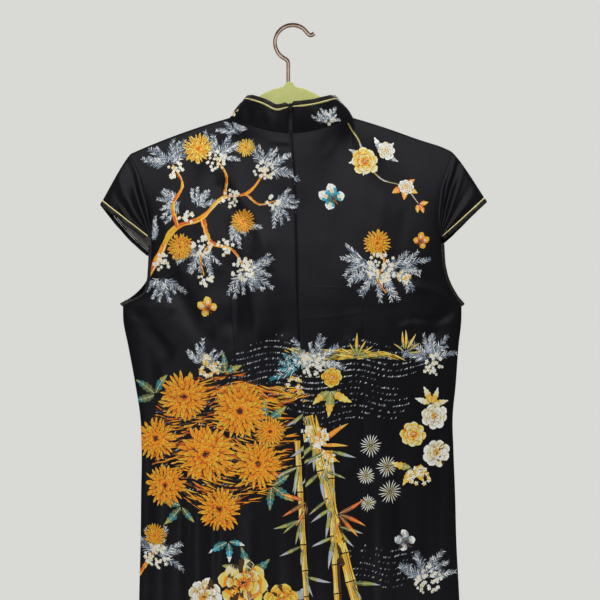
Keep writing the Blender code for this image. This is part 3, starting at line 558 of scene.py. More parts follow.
def panelPoint(face, across, rise):
    # across runs from -1 at the left side seam over 0 to 1 at the right; rise is mm up from the hem.
    # Rows are level up to the underarm, fan out above it to the shoulder and the neckline, and the
    # last ones roll over the hanger. Depth = edge + (deepest - edge) * lens + creases.
    across, rise = np.broadcast_arrays(np.asarray(across, float), np.asarray(rise, float))
    left, part = across < 0, np.abs(across)
    edge = dress["wall"] + dress["edgeClear"]

    drop = dress["hem"] - np.minimum(rise, lowRise)
    ends = [along(sides, k, drop) for k in ("left", "right")]
    middle = middleLine(face, drop)
    lowX = middle + part * (np.where(left, *ends) - middle)
    stand = edge + dress["slitOpen"] * ease((drop - dress["slitFrom"]) / (dress["hem"] - dress["slitFrom"]))
    shape, calm = lens(lowX, *ends)
    lowY = stand + (along(sides, faceWord[face], drop) - stand) * shape
    lowY = lowY + (creaseHeight(face, lowX, drop) + ripple(face, lowX, drop)) * calm
    lowDrop = drop

    topX, topDepth, topDrop, sine, roll = topEdge(face, across)
    s = np.clip((rise - lowRise) / dress["armRise"], 0, 1)
    level = dress["underarm"] - s * dress["armRise"]
    ends = [along(armhole, k, level) for k in armSides[face]]
    gap = along(armhole, "gap", level)
    middle = middleLine(face, dress["underarm"] - s * (dress["underarm"] - neck["drop"]))
    highX = middle + part * (np.where(left, *ends) - middle)
    shape, calm = lens(highX, *ends)
    highDrop = dress["underarm"] - s * (dress["underarm"] - topDrop - dress["shoulderRoll"])
    below = highDrop - topDrop - dress["shoulderRoll"]
    settled = ease(below / dress["topBlend"])
    near = ease(1 - below / dress["yokeEdge"])
    beside = ease(1 - np.abs(highX - neck["centre"]) / dress["yokeHalf"])
    yoke = dress["shoulderRoll"] + (neck["depth"][face] - dress["shoulderRoll"]) * beside
    highY = (1 - settled) * (near * (topDepth + roll) + (1 - near) * yoke)
    highY = highY + settled * (gap + (along(armhole, faceWord[face], level) - gap) * shape)
    freed = ease(below / dress["foldsFrom"])
    highY = highY + (creaseHeight(face, highX, highDrop) + ripple(face, highX, highDrop)) * calm * freed

    angle = np.clip((rise - topRise) / (endRise - topRise), 0, 1) * math.pi / 2
    rollY = topDepth + roll * np.cos(angle)
    climb = roll * np.sin(angle) + (dress["shoulderRoll"] - roll) * angle / (math.pi / 2)
    rollDrop = topDrop + dress["shoulderRoll"] - climb

    low, rolled = rise <= lowRise, rise > topRise
    x = np.where(low, lowX, np.where(rolled, topX, highX))
    y = np.where(low, lowY, np.where(rolled, rollY, highY) + dress["seam"] / 2)
    drop = np.where(low, lowDrop, np.where(rolled, rollDrop, highDrop))
    if face < 0:  # the two halves dip into the seam that joins them
        away = np.abs(x - middleLine(face, drop)) / dress["seamDipReach"]
        y = y - dress["seamDip"] * np.exp(-(away**2)) * (rise < topRise)
    return np.stack((x, face * y, -drop), -1)


def placeOn(face, x, drop):
    # across and rise of the cloth seen at x and drop: the fan of the rows is undone in a few rounds
    rise = dress["hem"] - drop
    across = np.zeros_like(x)
    for _ in range(8):
        s = np.clip((rise - lowRise) / dress["armRise"], 0, 1)
        level = dress["underarm"] - s * dress["armRise"]
        isLow = drop >= dress["underarm"]
        row = np.where(isLow, drop, dress["underarm"] - s * (dress["underarm"] - neck["drop"]))
        middle = middleLine(face, row)
        ends = [np.where(isLow, along(sides, k, drop), along(armhole, arm, level))
                for k, arm in zip(("left", "right"), armSides[face])]
        toLeft = x < middle
        across = (x - middle) / np.abs(np.where(toLeft, *ends) - middle)
        topDrop = topEdge(face, np.clip(across, -1, 1))[2] + dress["shoulderRoll"]
        high = lowRise + (dress["underarm"] - drop) / (dress["underarm"] - topDrop) * dress["armRise"]
        rise = np.where(isLow, dress["hem"] - drop, high)
    return across, rise


def seamColumns(face, hand):
    # column places from the middle to one side: close together at the seam and the neck point
    middle = float(middleLine(face, neck["drop"]))
    half = abs(armhole["left" if hand < 0 else "right"][0] - middle)
    turn = np.radians(np.arange(*neck["turns"]))
    neckPart = (neck["half"] * np.sin(turn) + hand * (neck["centre"] - middle)) / half
    first = np.array((dress["seam"] / 2, *dress["besideSeam"])) / half if face < 0 else np.array([0.0])
    shoulder = np.linspace(neckPart[-1], 1, 40 if face < 0 else 30)[1:]
    return np.concatenate((first, neckPart[neckPart > first[-1] + 0.003], shoulder))


def dartGap(face, points):
    # signed distance across to the nearest dart line, past the end of which it jumps to noLine
    gap = np.full(points.shape[:2], noLine)
    x, drop = points[..., 0], -points[..., 2]
    for side, *stops in darts:
        if side == face:
            away = x - np.interp(drop, [s[1] for s in stops], [s[0] for s in stops])
            inside = (drop > stops[0][1]) & (drop < stops[-1][1])
            gap = np.where(inside & (np.abs(away) < np.abs(gap)), away, gap)
    return gap


def makePanel(name, face, across, rises, node):
    # a grid of panelPoint, a wall inward that turns to the neck's own way along the top edge, and the
    # distances from its seams held for the satin
    points = panelPoint(face, across[None, :], rises[:, None])
    inward = inwardOf(points, (0, 0, -600))
    sine, roll = topEdge(face, across)[3:]
    toNeck = np.stack((-sine, -face * np.sqrt(1 - sine**2), 0 * sine), -1)
    share = (roll / dress["shoulderRoll"])[:, None]
    inward[-1] = unit(toNeck * (1 - share) + np.array((0, 0, -1.0)) * share)
    fromTop = clothArc(points)[..., 1]
    fromTop = fromTop[-1] - fromTop
    fromMiddle = np.abs(points[..., 0] - middleLine(face, -points[..., 2])) if face < 0 else noLine
    held = {"seam": np.minimum(fromTop, fromMiddle), "dart": dartGap(face, points)}
    ob = newCloth(name, points, inward, dress["wall"], [satin, wrongSide], held)
    return finishPiece(ob, "dress", node), points, across, rises


def riseRows(low, high):
    # rows up to the underarm, rows from there to the shoulder, and five round the roll
    return np.concatenate((np.linspace(0, lowRise, low), np.linspace(lowRise, topRise, high)[1:],
                           np.linspace(topRise, endRise, 6)[1:]))


panels = {}
for hand in (-1, 1):
    across = np.sort(hand * seamColumns(-1, hand))
    panels[hand] = makePanel("back" + handName[hand] + "Panel", -1, across, riseRows(228, 72),
                             "back_" + handName[hand].lower())
frontAcross = np.concatenate((-seamColumns(1, -1)[:0:-1], seamColumns(1, 1)))
panels[0] = makePanel("frontPanel", 1, frontAcross, riseRows(170, 56), "front")
print("body panels made")


sleeves = {
    "fullness": 4.0, "crown": 4.4, "crownSkew": 0.7, "foldAt": 0.40, "foldReach": 0.16, "foldDepth": 2.6,
    "foldRun": 0.35, "wrinkle": 0.12,
    -1: {"tip": (-259.2, 235.6), "back": (-194.0, 286.1), "front": (-195.5, 306.5), "open": 13.0, "sag": 6.0},
    1: {"tip": (260.5, 232.0), "back": (200.5, 286.1), "front": (200.5, 293.4), "open": 11.0, "sag": 0.0},
}
sleeveFolds = {  # where across the cap, how wide, how deep, where along the armhole it is strongest, lean
    -1: ((0.10, 0.11, 1.4, 0.46, 0.30), (0.33, 0.14, -3.8, 0.54, 0.40), (0.60, 0.11, 2.4, 0.54, 0.30),
         (0.82, 0.07, -1.4, 0.44, 0.14)),
    1: ((0.05, 0.06, -2.0, 0.50, 0.05), (0.17, 0.07, 2.4, 0.50, 0.12), (0.33, 0.07, -2.8, 0.60, 0.20),
        (0.48, 0.08, 2.6, 0.60, 0.20), (0.70, 0.09, -1.8, 0.50, 0.10), (0.84, 0.07, 1.6, 0.45, 0.10)),
}
trims = {
    "pipingWidth": 1.8, "pipingThick": 2.3, "bindingWidth": 5.5, "bindingThick": 2.1,
    "armWidth": 5.2, "armOffset": 0.7, "armOverlap": 9.0, "armTurn": 6.0,
    "facing": 15.0, "facingOver": 3.0, "tapeWidth": 6.0, "tapeThick": 0.45, "tapeRun": 20.0, "tapeTop": 4.0,
    "puckers": 0.10, "collarPuckers": 0.06,
    "cord": (12, 1.0), "band": (18, 0.6), "tape": (8, 0.5), "flat": (10, 0.5),  # points round, squareness
}


def armEdge(face, hand, rises):
    # a side edge of a panel, the way into the cloth there, and the way on past the edge
    edge = panelPoint(face, float(hand), rises)
    near = panelPoint(face, hand * 0.985, rises)
    out = edge - near
    into = unit(np.cross(np.gradient(edge, axis=0), out))
    middle = np.array((edge[:, 0].mean() * 0.6, 0.0, edge[:, 2].mean()))
    into = into * np.where(np.sum(into * (middle - edge), -1) > 0, 1, -1)[:, None]
    return edge, into, unit(out)


def strip(name, edge, into, out, offset, width, thick, paint, shape, node=None, ends=2, ruffle=0.0,
          shadeInside=False):
    # a trim beside a cut edge: a rounded section carried along it, centred in the wall; its two ends
    # close to a rounded point over a few stations, and ruffle makes a bias strip's small puckers
    run = unit(np.gradient(edge, axis=0))
    out = unit(out - run * np.sum(out * run, -1, keepdims=True))
    up = unit(np.cross(run, out))
    centre = edge + into * dress["wall"] / 2 + out * (offset + width / 2)
    long = runLength(centre)
    closing = np.clip(np.minimum(long, long[-1] - long) / ends, 0, 1)
    full = np.sqrt(1 - (1 - closing) ** 2) * 0.9 + 0.1
    wave = 1 + ruffle * np.sin(long / 2.3 + 1.7 * np.sin(long / 9.0)) * np.sin(long / 5.1)
    u, v = section(width, thick, *shape).T
    # painted shade: when asked, the half of the section on the inside of the edge takes the dark facing paint
    shadedHalf = shadeInside and np.sign(np.sum(up * into))  # which half of the section lies on the inside
    rings = (centre[:, None] + out[:, None] * (u[None] * full[:, None])[..., None]
             + up[:, None] * (v[None] * (full * wave)[:, None])[..., None])
    inner = np.tile(((v + np.roll(v, -1)) * shadedHalf > 0).astype(int), len(rings) - 1) if shadedHalf else None
    ob = sweep(name, rings, [paint, lining] if shadedHalf else [paint], inner)
    return finishPiece(ob, "dress", node)


def seamTape(name, edge, into, out):
    # the narrow tape that backs a seam on the inside, centred on the seam line
    width, thick = trims["tapeWidth"], trims["tapeThick"]
    behind = edge + into * (dress["wall"] + thick)
    return strip(name, behind, into, out, -width / 2, width, thick, lining, trims["tape"])


def pipedEdge(part, hand, edge, into, out, ends, ruffle, shadeInside):
    # a finished edge: the gold cord against the cloth, and the bias strip outside it; the cord's inside half,
    # and the strip's when asked, is painted dark as shade
    word, low, seam = handName[hand], handName[hand].lower(), dress["seam"]
    cord = strip(part + "Piping" + word, edge, into, out, seam, trims["pipingWidth"], trims["pipingThick"],
                 goldCord, trims["cord"], part + "_piping_" + low, ends[0], shadeInside=True)
    band = strip(part + "Binding" + word, edge, into, out, 2 * seam + trims["pipingWidth"],
                 trims["bindingWidth"], trims["bindingThick"], biasSatin, trims["band"],
                 part + "_binding_" + low, ends[1], ruffle, shadeInside)
    return [cord, band]


def sleeveFoot(hand, end):
    # how far up from the hem the sleeve meets the armhole, at its back or its front end
    return lowRise + dress["underarm"] - sleeves[hand][end][1]


def sleeveGrid(hand, across):
    # the cap sleeve: straight lines from the armhole edge to the hem line, bowed by its fullness.
    # The hem runs from its back end over the tip to its front end, open by sqrt(1 - up³)
    s = sleeves[hand]
    edges = []
    for face, end in ((-1, "back"), (1, "front")):
        foot = sleeveFoot(hand, end)
        rises = np.concatenate((np.linspace(foot, topRise, 34), np.linspace(topRise, endRise, 6)[1:]))
        edges.append(armEdge(face, hand, rises))
    back, front = edges
    seam = np.concatenate((back[0][:-1], (back[0][-1:] + front[0][-1:]) / 2, front[0][-2::-1]))
    into = np.concatenate((back[1], front[1][-2::-1]))
    out = np.concatenate((back[2], front[2][-2::-1]))
    ridge = len(back[0]) - 1
    seam = seam + unit(out) * dress["seam"]
    long = runLength(seam)
    isBack = np.arange(len(seam)) <= ridge
    up = np.where(isBack, long / long[ridge], (long[-1] - long) / (long[-1] - long[ridge]))
    face = np.where(isBack, -1.0, 1.0)
    lowX, lowDrop = [np.where(isBack, s["back"][k], s["front"][k]) for k in (0, 1)]
    hem = np.stack((lowX + (s["tip"][0] - lowX) * up,
                    face * s["open"] * np.sqrt(np.clip(1 - up**3, 0, 1)),
                    -(lowDrop + (s["tip"][1] - lowDrop) * up
                      + np.where(isBack, 0, s["sag"]) * 4 * up * (1 - up))), -1)
    w, up = np.asarray(across)[None, :], up[:, None]
    points = seam[:, None] * (1 - w[..., None]) + hem[:, None] * w[..., None]
    points[..., 2] += sleeves["crown"] * np.sin(math.pi * w ** sleeves["crownSkew"]) * up**4
    body = up * (1 - up) * 4
    fold = np.exp(-(((w - sleeves["foldAt"]) / sleeves["foldReach"]) ** 2))
    stand = body * (sleeves["fullness"] * 4 * w * (1 - w) - sleeves["foldDepth"] * fold)
    for at, reach, height, best, slant in sleeveFolds[hand]:
        strong = np.exp(-(((up - best) / sleeves["foldRun"]) ** 2)) * ease(8 * w) * ease(8 * (1 - w))
        line = at + slant * (0.5 - up)
        stand = stand + height * strong * np.exp(-(((w - line) / reach) ** 2)) * (up < 0.98)
    rng = np.random.default_rng(5 + hand)
    for _ in range(6):
        a, b, c = rng.uniform(3, 9), rng.uniform(2, 8), rng.uniform(0, 6.28)
        stand = stand + sleeves["wrinkle"] * np.sin(a * w * 3 + b * up * 3 + c) * body
    points[..., 1] += face[:, None] * stand
    inward = inwardOf(points, (hand * 215, 0, -260))
    inward[:, 0] = into
    inward[ridge] = unit(inward[ridge] * np.array((1, 0, 1)))
    return points, inward


def makeSleeve(hand):
    # the cap, its piped hem, and the tapes behind its seam; gives the cap and a list of its trims
    word = handName[hand]
    points, inward = sleeveGrid(hand, np.linspace(0, 1, 34))
    held = {"seam": clothArc(points)[..., 0], "dart": np.full(points.shape[:2], noLine)}
    ob = newCloth("sleeve" + word, points, inward, dress["wall"], [satin, wrongSide], held)
    finishPiece(ob, "dress", "sleeve_" + word.lower())
    # painted shade: the hem's cord and binding are dark on their inside halves
    made = pipedEdge("sleeve", hand, points[:, -1], inward[:, -1], points[:, -1] - points[:, -2], (1, 1.5),
                     trims["puckers"], True)
    for face, end in ((-1, "back"), (1, "front")):
        rises = np.linspace(sleeveFoot(hand, end) - trims["tapeRun"], topRise - trims["tapeTop"], 40)
        made.append(seamTape("sleeveSeam" + word + end.capitalize(), *armEdge(face, hand, rises)))
    return ob, made


def makeArmBinding(hand):
    # the bias strip round the open armhole: down the back edge, level across the side seam, up the
    # front; and the flat facing inside the front edge
    word = handName[hand]
    edges = []
    for face, end in ((-1, "back"), (1, "front")):
        rises = np.linspace(lowRise, sleeveFoot(hand, end) - trims["armOverlap"], 44)
        edges.append(armEdge(face, hand, rises))
    back, front = [v[::-1] for v in edges[0]], edges[1]
    upOut = unit(np.array((hand * 0.7, 0.0, 0.7)))[None]
    edge = np.concatenate((back[0], (back[0][-1:] + front[0][:1]) / 2, front[0]))
    into = np.concatenate((back[1], np.zeros((1, 3)), front[1]))
    out = np.concatenate((back[2], upOut, front[2]))
    share = ease(1 - np.abs(np.arange(len(out)) - len(back[0])) / trims["armTurn"])[:, None]
    out = unit(out * (1 - share) + upOut * share)
    inside = front[0] + front[1] * (dress["wall"] + trims["tapeThick"])
    facing = strip("armholeFacing" + word, inside, front[1], front[2], trims["facingOver"] - trims["facing"],
                   trims["facing"], trims["tapeThick"], lining, trims["flat"])
    # painted shade: the binding is dark on its inside half
    binding = strip("armholeBinding" + word, edge, into, out, trims["armOffset"], trims["armWidth"],
                    trims["bindingThick"], biasSatin, trims["band"],
                    "armhole_binding_" + word.lower(), 1.5, trims["puckers"], True)
    return [binding, facing]


for hand in (-1, 1):
    ob, trimmed = makeSleeve(hand)
    trimmed + makeArmBinding(hand)
print("sleeves and armholes made")


collar = {
    "topHalf": 60.5, "topDrop": 94.0, "dip": {-1: 20.5, 1: 62.0}, "depth": {-1: 46.0, 1: 40.0},
    "sagAt": -20.0, "sagReach": 12.0, "sagDrop": 5.5, "cornerFrom": 0.80, "cornerLeft": 0.55,
    "zipGap": 4.4, "end": 174.0, "trimReach": 8.2, "swell": 1.1, "dents": (0.6, 0.35), "trimTurn": 4.0,
}
zipper = {
    "x": -2.7, "end": 640.0, "half": 9.0, "thick": 0.7, "clear": 0.9, "low": 3.0,
    "toothPitch": 2.1, "toothHalf": 1.7, "toothTall": 1.0, "toothThick": (0.3, 0.35), "coilEnds": 2.0,
    "coilClear": 0.05, "toothRings": 7, "toothSides": 6,
}


def collarGrid(hand, angle, heights):
    # the stand collar: straight lines from the neckline up to the finished edge, less its trims.
    # Angle runs from the centre back (0) round to the centre front (180 degrees)
    angle = np.asarray(angle)
    isBack = np.abs(angle) < math.pi / 2
    face = np.where(isBack, -1, 1)
    c = np.abs(np.cos(angle))
    depth, dip, topDepth, topDip = [np.where(isBack, pair[-1], pair[1]) for pair in
                                    (neck["depth"], neck["dip"], collar["depth"], collar["dip"])]
    base = np.stack((neck["centre"] + hand * neck["half"] * np.sin(angle),
                     face * (depth * c + dress["seam"] / 2), -(neck["drop"] + dip * c * c)), -1)
    topHalf = np.maximum(collar["topHalf"] * np.sin(angle), np.where(isBack, 0, collar["trimReach"] + 1))
    topX = neck["centre"] + hand * topHalf
    sag = collar["sagDrop"] * np.exp(-(((topX - collar["sagAt"]) / collar["sagReach"]) ** 2))
    topDrop = collar["topDrop"] + topDip * c * c + np.where(isBack, sag, 0)
    top = np.stack((topX, face * topDepth * c, -topDrop), -1)
    corner = np.clip((angle / math.pi - collar["cornerFrom"]) / (1 - collar["cornerFrom"]), 0, 1)
    share = 1 - (1 - collar["cornerLeft"]) * (1 - np.sqrt(1 - corner**2))
    top = base + (top - base) * share[:, None]
    tall = np.linalg.norm(top - base, axis=-1)
    cut = base + (top - base) * (1 - collar["trimReach"] / tall)[:, None]
    base = base + unit(top - base) * dress["seam"]
    h = np.asarray(heights)[:, None]
    points = base * (1 - h[..., None]) + cut * h[..., None]
    # the stand swells a little between its edges and keeps a few soft dents
    n = inwardOf(points, (0, 0, -130))
    turned = angle[None, :] + 0.25 * hand * h
    wide, narrow = collar["dents"]
    dents = wide * np.sin(turned * 9 + 1.3 * hand) + narrow * np.sin(turned * 17 + 2 * hand)
    swell = np.sin(math.pi * h) * (collar["swell"] + dents) * ease(angle * 8)[None]
    return points - n * swell[..., None]


def makeCollar(hand):
    # one half of the stand, the piping and binding along its top and down its front end, and the tape
    # behind its lower seam; gives the stand, its grid and a list of its trims
    word = handName[hand]
    start = math.asin((collar["zipGap"] / 2 + hand * (zipper["x"] - neck["centre"])) / collar["topHalf"])
    angle = np.concatenate((np.linspace(start, math.pi / 2, 44),
                            np.linspace(math.pi / 2, math.radians(collar["end"]), 44)[1:]))
    points = collarGrid(hand, angle, np.linspace(0, 1, 16))
    inward = inwardOf(points, (0, 0, -130))
    inward[0] = unit(np.stack((-hand * np.sin(angle), np.cos(angle), 0 * angle), -1))
    held = {"seam": clothArc(points)[..., 1], "dart": np.full(points.shape[:2], noLine)}
    ob = newCloth("collar" + word, points, inward, dress["wall"], [satin, lining], held)
    finishPiece(ob, "dress", "collar_" + word.lower())
    foot = points[:1, -1] + unit(points[1:2, -1] - points[:1, -1]) * 2 * dress["seam"]
    edge = np.concatenate((points[-1], points[-2:0:-1, -1], foot))
    into = np.concatenate((inward[-1], inward[-2::-1, -1]))
    out = unit(np.concatenate((points[-1] - points[-2], points[-2::-1, -1] - points[-2::-1, -2])))
    at = np.arange(len(out)) - (len(angle) - 1)
    share = ease(1 - np.abs(at) / collar["trimTurn"])[:, None]
    out = unit(out * (1 - share) + unit(out[len(angle) - 3] + out[len(angle) + 2]) * share)
    made = pipedEdge("collar", hand, edge, into, out, (0.6, 0.8), trims["collarPuckers"], False)
    beside = np.abs(points[0, :, 0] - zipper["x"]) > zipper["half"] + 2
    beside |= np.arange(len(angle)) > len(angle) // 2
    made.append(seamTape("collarSeam" + word, points[0, beside], inward[0, beside],
                         unit(points[1, beside] - points[0, beside])))
    return ob, points, inward, made


collarPieces = {hand: makeCollar(hand) for hand in (-1, 1)}
print("collar made")


slider = {"width": 3.7, "top": 118.5, "foot": 130.0, "back": 44.6, "face": 47.2, "ears": 50.4, "ear": 0.9,
          "bevel": (0.25, 0.5), "endWidth": 0.72, "endSink": 1.2}
pull = {"pivotDrop": 128.6, "pivotY": -49.2, "thick": 1.1, "length": 25.5, "width": 6.0, "neck": 1.2,
        "above": 1.0, "straight": 2.2, "crown": 0.6}
enamel = {"black": linear(7, 7, 8), "worn": linear(58, 56, 54), "rough": 0.24, "coat": 0.05, "gloss": 0.1,
          "grain": 900.0, "depth": 0.00005}


def enamelPaint(name):
    # black enamel, rubbed greyer and duller where its fine grain stands highest
    paint = Paint(name, metallic=0.0, coatWeight=enamel["coat"], coatRoughness=0.12,
                  specularIorLevel=enamel["gloss"])
    grain = paint.noise(paint.place(), enamel["grain"], detail=4.0)
    scuff = paint.node("ShaderNodeMapRange", None, {"Value": grain, "From Min": 0.58, "From Max": 0.66})
    paint.feed(baseColor=paint.mix(scuff, enamel["black"], enamel["worn"]),
               roughness=scuff * 0.15 + enamel["rough"], normal=paint.relief(grain, enamel["depth"], 0.3))
    return paint


blackEnamel = enamelPaint("blackEnamel")


def zipTape():
    # the tape follows the back seam and the split in the collar, behind them by its clearance
    rises = np.linspace(dress["hem"] - zipper["end"], topRise, 150)
    rows = {}
    for hand in (-1, 1):
        half = abs(armhole["left" if hand < 0 else "right"][0] - middleLine(-1, neck["drop"]))
        near = panelPoint(-1, hand * dress["seam"] / 2 / half, rises)
        far = panelPoint(-1, hand * (zipper["half"] + 1) / half, rises)
        stand = collarPieces[hand][1][:, :6]
        lift = unit(stand[-1:, 0] - stand[-2:-1, 0]) * (collar["trimReach"] - zipper["low"])
        away = stand[:, 5]
        near = np.concatenate((near, stand[:, 0], stand[-1:, 0] + lift))
        far = np.concatenate((far, away, away[-1:] + lift))
        share = zipper["half"] / np.linalg.norm(far - near, axis=-1, keepdims=True)
        rows[hand] = (near, near + (far - near) * share)
    middle = (rows[-1][0] + rows[1][0]) / 2
    grid = np.stack((rows[-1][1], (rows[-1][1] + middle) / 2, middle, (rows[1][1] + middle) / 2,
                     rows[1][1]), 1)
    into = inwardOf(grid, (0, 0, -400))
    return grid + into * (dress["wall"] + zipper["clear"]), into


def makeTeeth(grid, into):
    # the coil on the inside of the tape: one small arch, a half ellipse swept by a round section,
    # repeated every pitch along the tape's middle
    z, rows, cols = zipper, zipper["toothRings"], zipper["toothSides"]
    spine, spineIn = grid[:, 2] + into[:, 2] * (z["thick"] + z["coilClear"]), into[:, 2]
    long = runLength(spine)
    at = np.arange(z["coilEnds"], long[-1] - z["coilEnds"], z["toothPitch"])
    seat = np.stack([np.interp(at, long, spine[:, k]) for k in range(3)], -1)
    rise = unit(np.stack([np.interp(at, long, spineIn[:, k]) for k in range(3)], -1))
    run = unit(np.gradient(seat, axis=0))
    side = unit(np.cross(run, rise))
    a = np.linspace(0, math.pi, rows)[:, None]
    b = np.linspace(0, 2 * math.pi, cols, endpoint=False)
    up, broad = z["toothThick"]
    tooth = np.stack((np.cos(a) * z["toothHalf"] * (1 + 0.16 * np.cos(b)),
                      np.sin(a) * z["toothTall"] + up * np.cos(b) + broad,
                      broad * np.sin(b) + 0 * a), -1).reshape(-1, 3)
    points = (seat[:, None] + side[:, None] * tooth[None, :, :1] + rise[:, None] * tooth[None, :, 1:2]
              + run[:, None] * tooth[None, :, 2:])
    first = np.arange(len(at)) * rows * cols
    quads = (gridQuads(rows, cols, loop=True)[None] + first[:, None, None]).reshape(-1, 4)
    foot, head = np.arange(cols)[::-1], np.arange((rows - 1) * cols, rows * cols)
    caps = [cap + k for k in first for cap in (foot, head)]
    ob = newPiece("zipTeeth", points.reshape(-1, 3), quads, [blackEnamel], None, caps)
    return finishPiece(ob, "dress")


def makeSlider():
    # a trough's outline with two bevelled ears, carried down the zip and drawn in at both ends by
    # sqrt(1 - |t|^6)
    s, half, ear = slider, slider["width"] / 2, slider["ear"]
    side, front = s["bevel"]
    left = [(-half, -s["back"]), (-half, -s["ears"] + front), (-half + side, -s["ears"]),
            (-half + ear, -s["ears"]), (-half + ear, -s["face"])]
    u, v = np.array(left + [(-x, y) for x, y in left[::-1]]).T
    drops = np.linspace(s["top"], s["foot"], 14)
    t = 2 * (drops - s["top"]) / (s["foot"] - s["top"]) - 1
    r = np.sqrt(np.clip(1 - np.abs(t) ** 6, 0, 1))[:, None]
    y = v + (1 - r) * s["endSink"] * (v < -s["face"])
    rings = np.stack((zipper["x"] + u * (s["endWidth"] + (1 - s["endWidth"]) * r), y,
                      -drops[:, None] + 0 * y), -1)
    return finishPiece(sweep("zipSlider", rings, [blackEnamel]), "dress", "zip_slider")


def makePull():
    # a flat teardrop: its half width is the neck's, eases out to the foot's, follows a circle round the
    # foot, and rounds off above the pin
    p, foot, neckHalf = pull, pull["width"] / 2, pull["neck"] / 2
    low = foot - p["length"]
    z = np.concatenate((np.linspace(p["above"], -p["straight"], 8), np.linspace(-p["straight"], low, 22)[1:],
                        low - foot * np.sin(np.linspace(0, math.pi / 2, 12))[1:]))
    h = neckHalf + (foot - neckHalf) * ease((z + p["straight"]) / (low + p["straight"]))
    h = np.where(z < low, np.sqrt(np.clip(foot**2 - (z - low) ** 2, 0.004, None)), h)
    t = (z - p["above"] + p["crown"]) / (p["crown"] + 0.02)
    h = np.where(z > p["above"] - p["crown"], h * np.sqrt(np.clip(1 - t**2, 0.05, 1)), h)[:, None]
    u, v = section(2.0, p["thick"], 16, 0.75).T
    rings = np.stack((zipper["x"] + h * u, p["pivotY"] + v * np.minimum(1, h / 0.5),
                      -p["pivotDrop"] + z[:, None] + 0 * u), -1)
    return finishPiece(sweep("zipPull", rings, [blackEnamel]), "pull", "zip_pull")


tape, tapeInto = zipTape()
finishPiece(newCloth("zipTape", tape, tapeInto, zipper["thick"], [tapeWeave, tapeWeave]),
            "dress", "zip_tape")
makeTeeth(tape, tapeInto)
makeSlider()
makePull()
print("zip made")


hanger = {
    "centre": -5.0, "half": 2.75, "edge": 1.6, "under": 3.6, "reach": 220.0, "tip": 7.5,
    "droopFrom": 30.0, "droop": 5.0, "bossRise": 6.3, "bossHalf": 3.2, "bossFlare": 6.0, "deepAtTip": 15.0,
    "pile": linear(166, 171, 92), "pileLit": linear(210, 213, 142), "pileSheen": linear(214, 218, 160),
}
hangerDome = {  # drop here is the distance out from the centre
    "drop": (0.0, 10, 20, 31, 41, 53, 66, 82),
    "top": (81.5, 82.2, 84.6, 89.0, 94.5, 103.0, 113.5, 128.2),
    "deep": (46, 45.5, 44, 41, 37, 31, 26, 22),
}
hook = {
    "width": 5.2, "deep": 3.2, "sheet": 0.9, "corner": 0.55, "lip": 0.2, "fillet": 0.5,
    "loopX": -0.4, "loop": 24.1, "from": 244.5, "to": 50.0, "stem": -6.4, "bendFrom": 7.5, "bendAt": 2.4,
    "inBoard": 4.0, "tip": ((6.2, -6.8), (7.6, -11.2), (14.0, -5.6)),  # a curve's points past the loop
    # painted light: the channel's edges are a darker rose as painted shade, its floor a lighter rose as a
    # painted highlight
    "edge": (linear(108, 86, 73), linear(164, 140, 124)),
    "floor": (linear(138, 118, 104), linear(182, 163, 148)),
}


def flockPaint():
    # short fibres over a moulded board: fine grain, patches brushed lighter and darker, no gloss
    paint = Paint("sageFlock", sheenWeight=0.8, sheenRoughness=0.6, sheenTint=hanger["pileSheen"])
    fibre = paint.noise(paint.place(), 5200.0, detail=2.0)
    brush = paint.noise(paint.place(), 70.0, (1.0, 1.0, 0.5), 4.0)
    tone = paint.mix(brush * 0.7 + fibre * 0.3, hanger["pile"], hanger["pileLit"])
    paint.feed(baseColor=tone, roughness=0.95, normal=paint.relief(fibre + brush * 0.5, 0.0004, 0.7))
    return paint


def rosePaint(name, dark, light):
    # plated wire, drawn fine lines along it and a slow haze that lightens and dulls it
    paint = Paint(name, metallic=1.0)
    brushed = paint.noise(paint.place(), 1500.0, (1, 1, 0.1), 2.0)
    haze = paint.noise(paint.place(), 90.0, detail=3.0) * 2.4 - 0.7
    paint.feed(baseColor=paint.mix(haze, dark, light),
               roughness=haze * 0.10 + brushed * 0.06 + 0.12, normal=paint.relief(brushed, 0.00004, 0.4))
    return paint


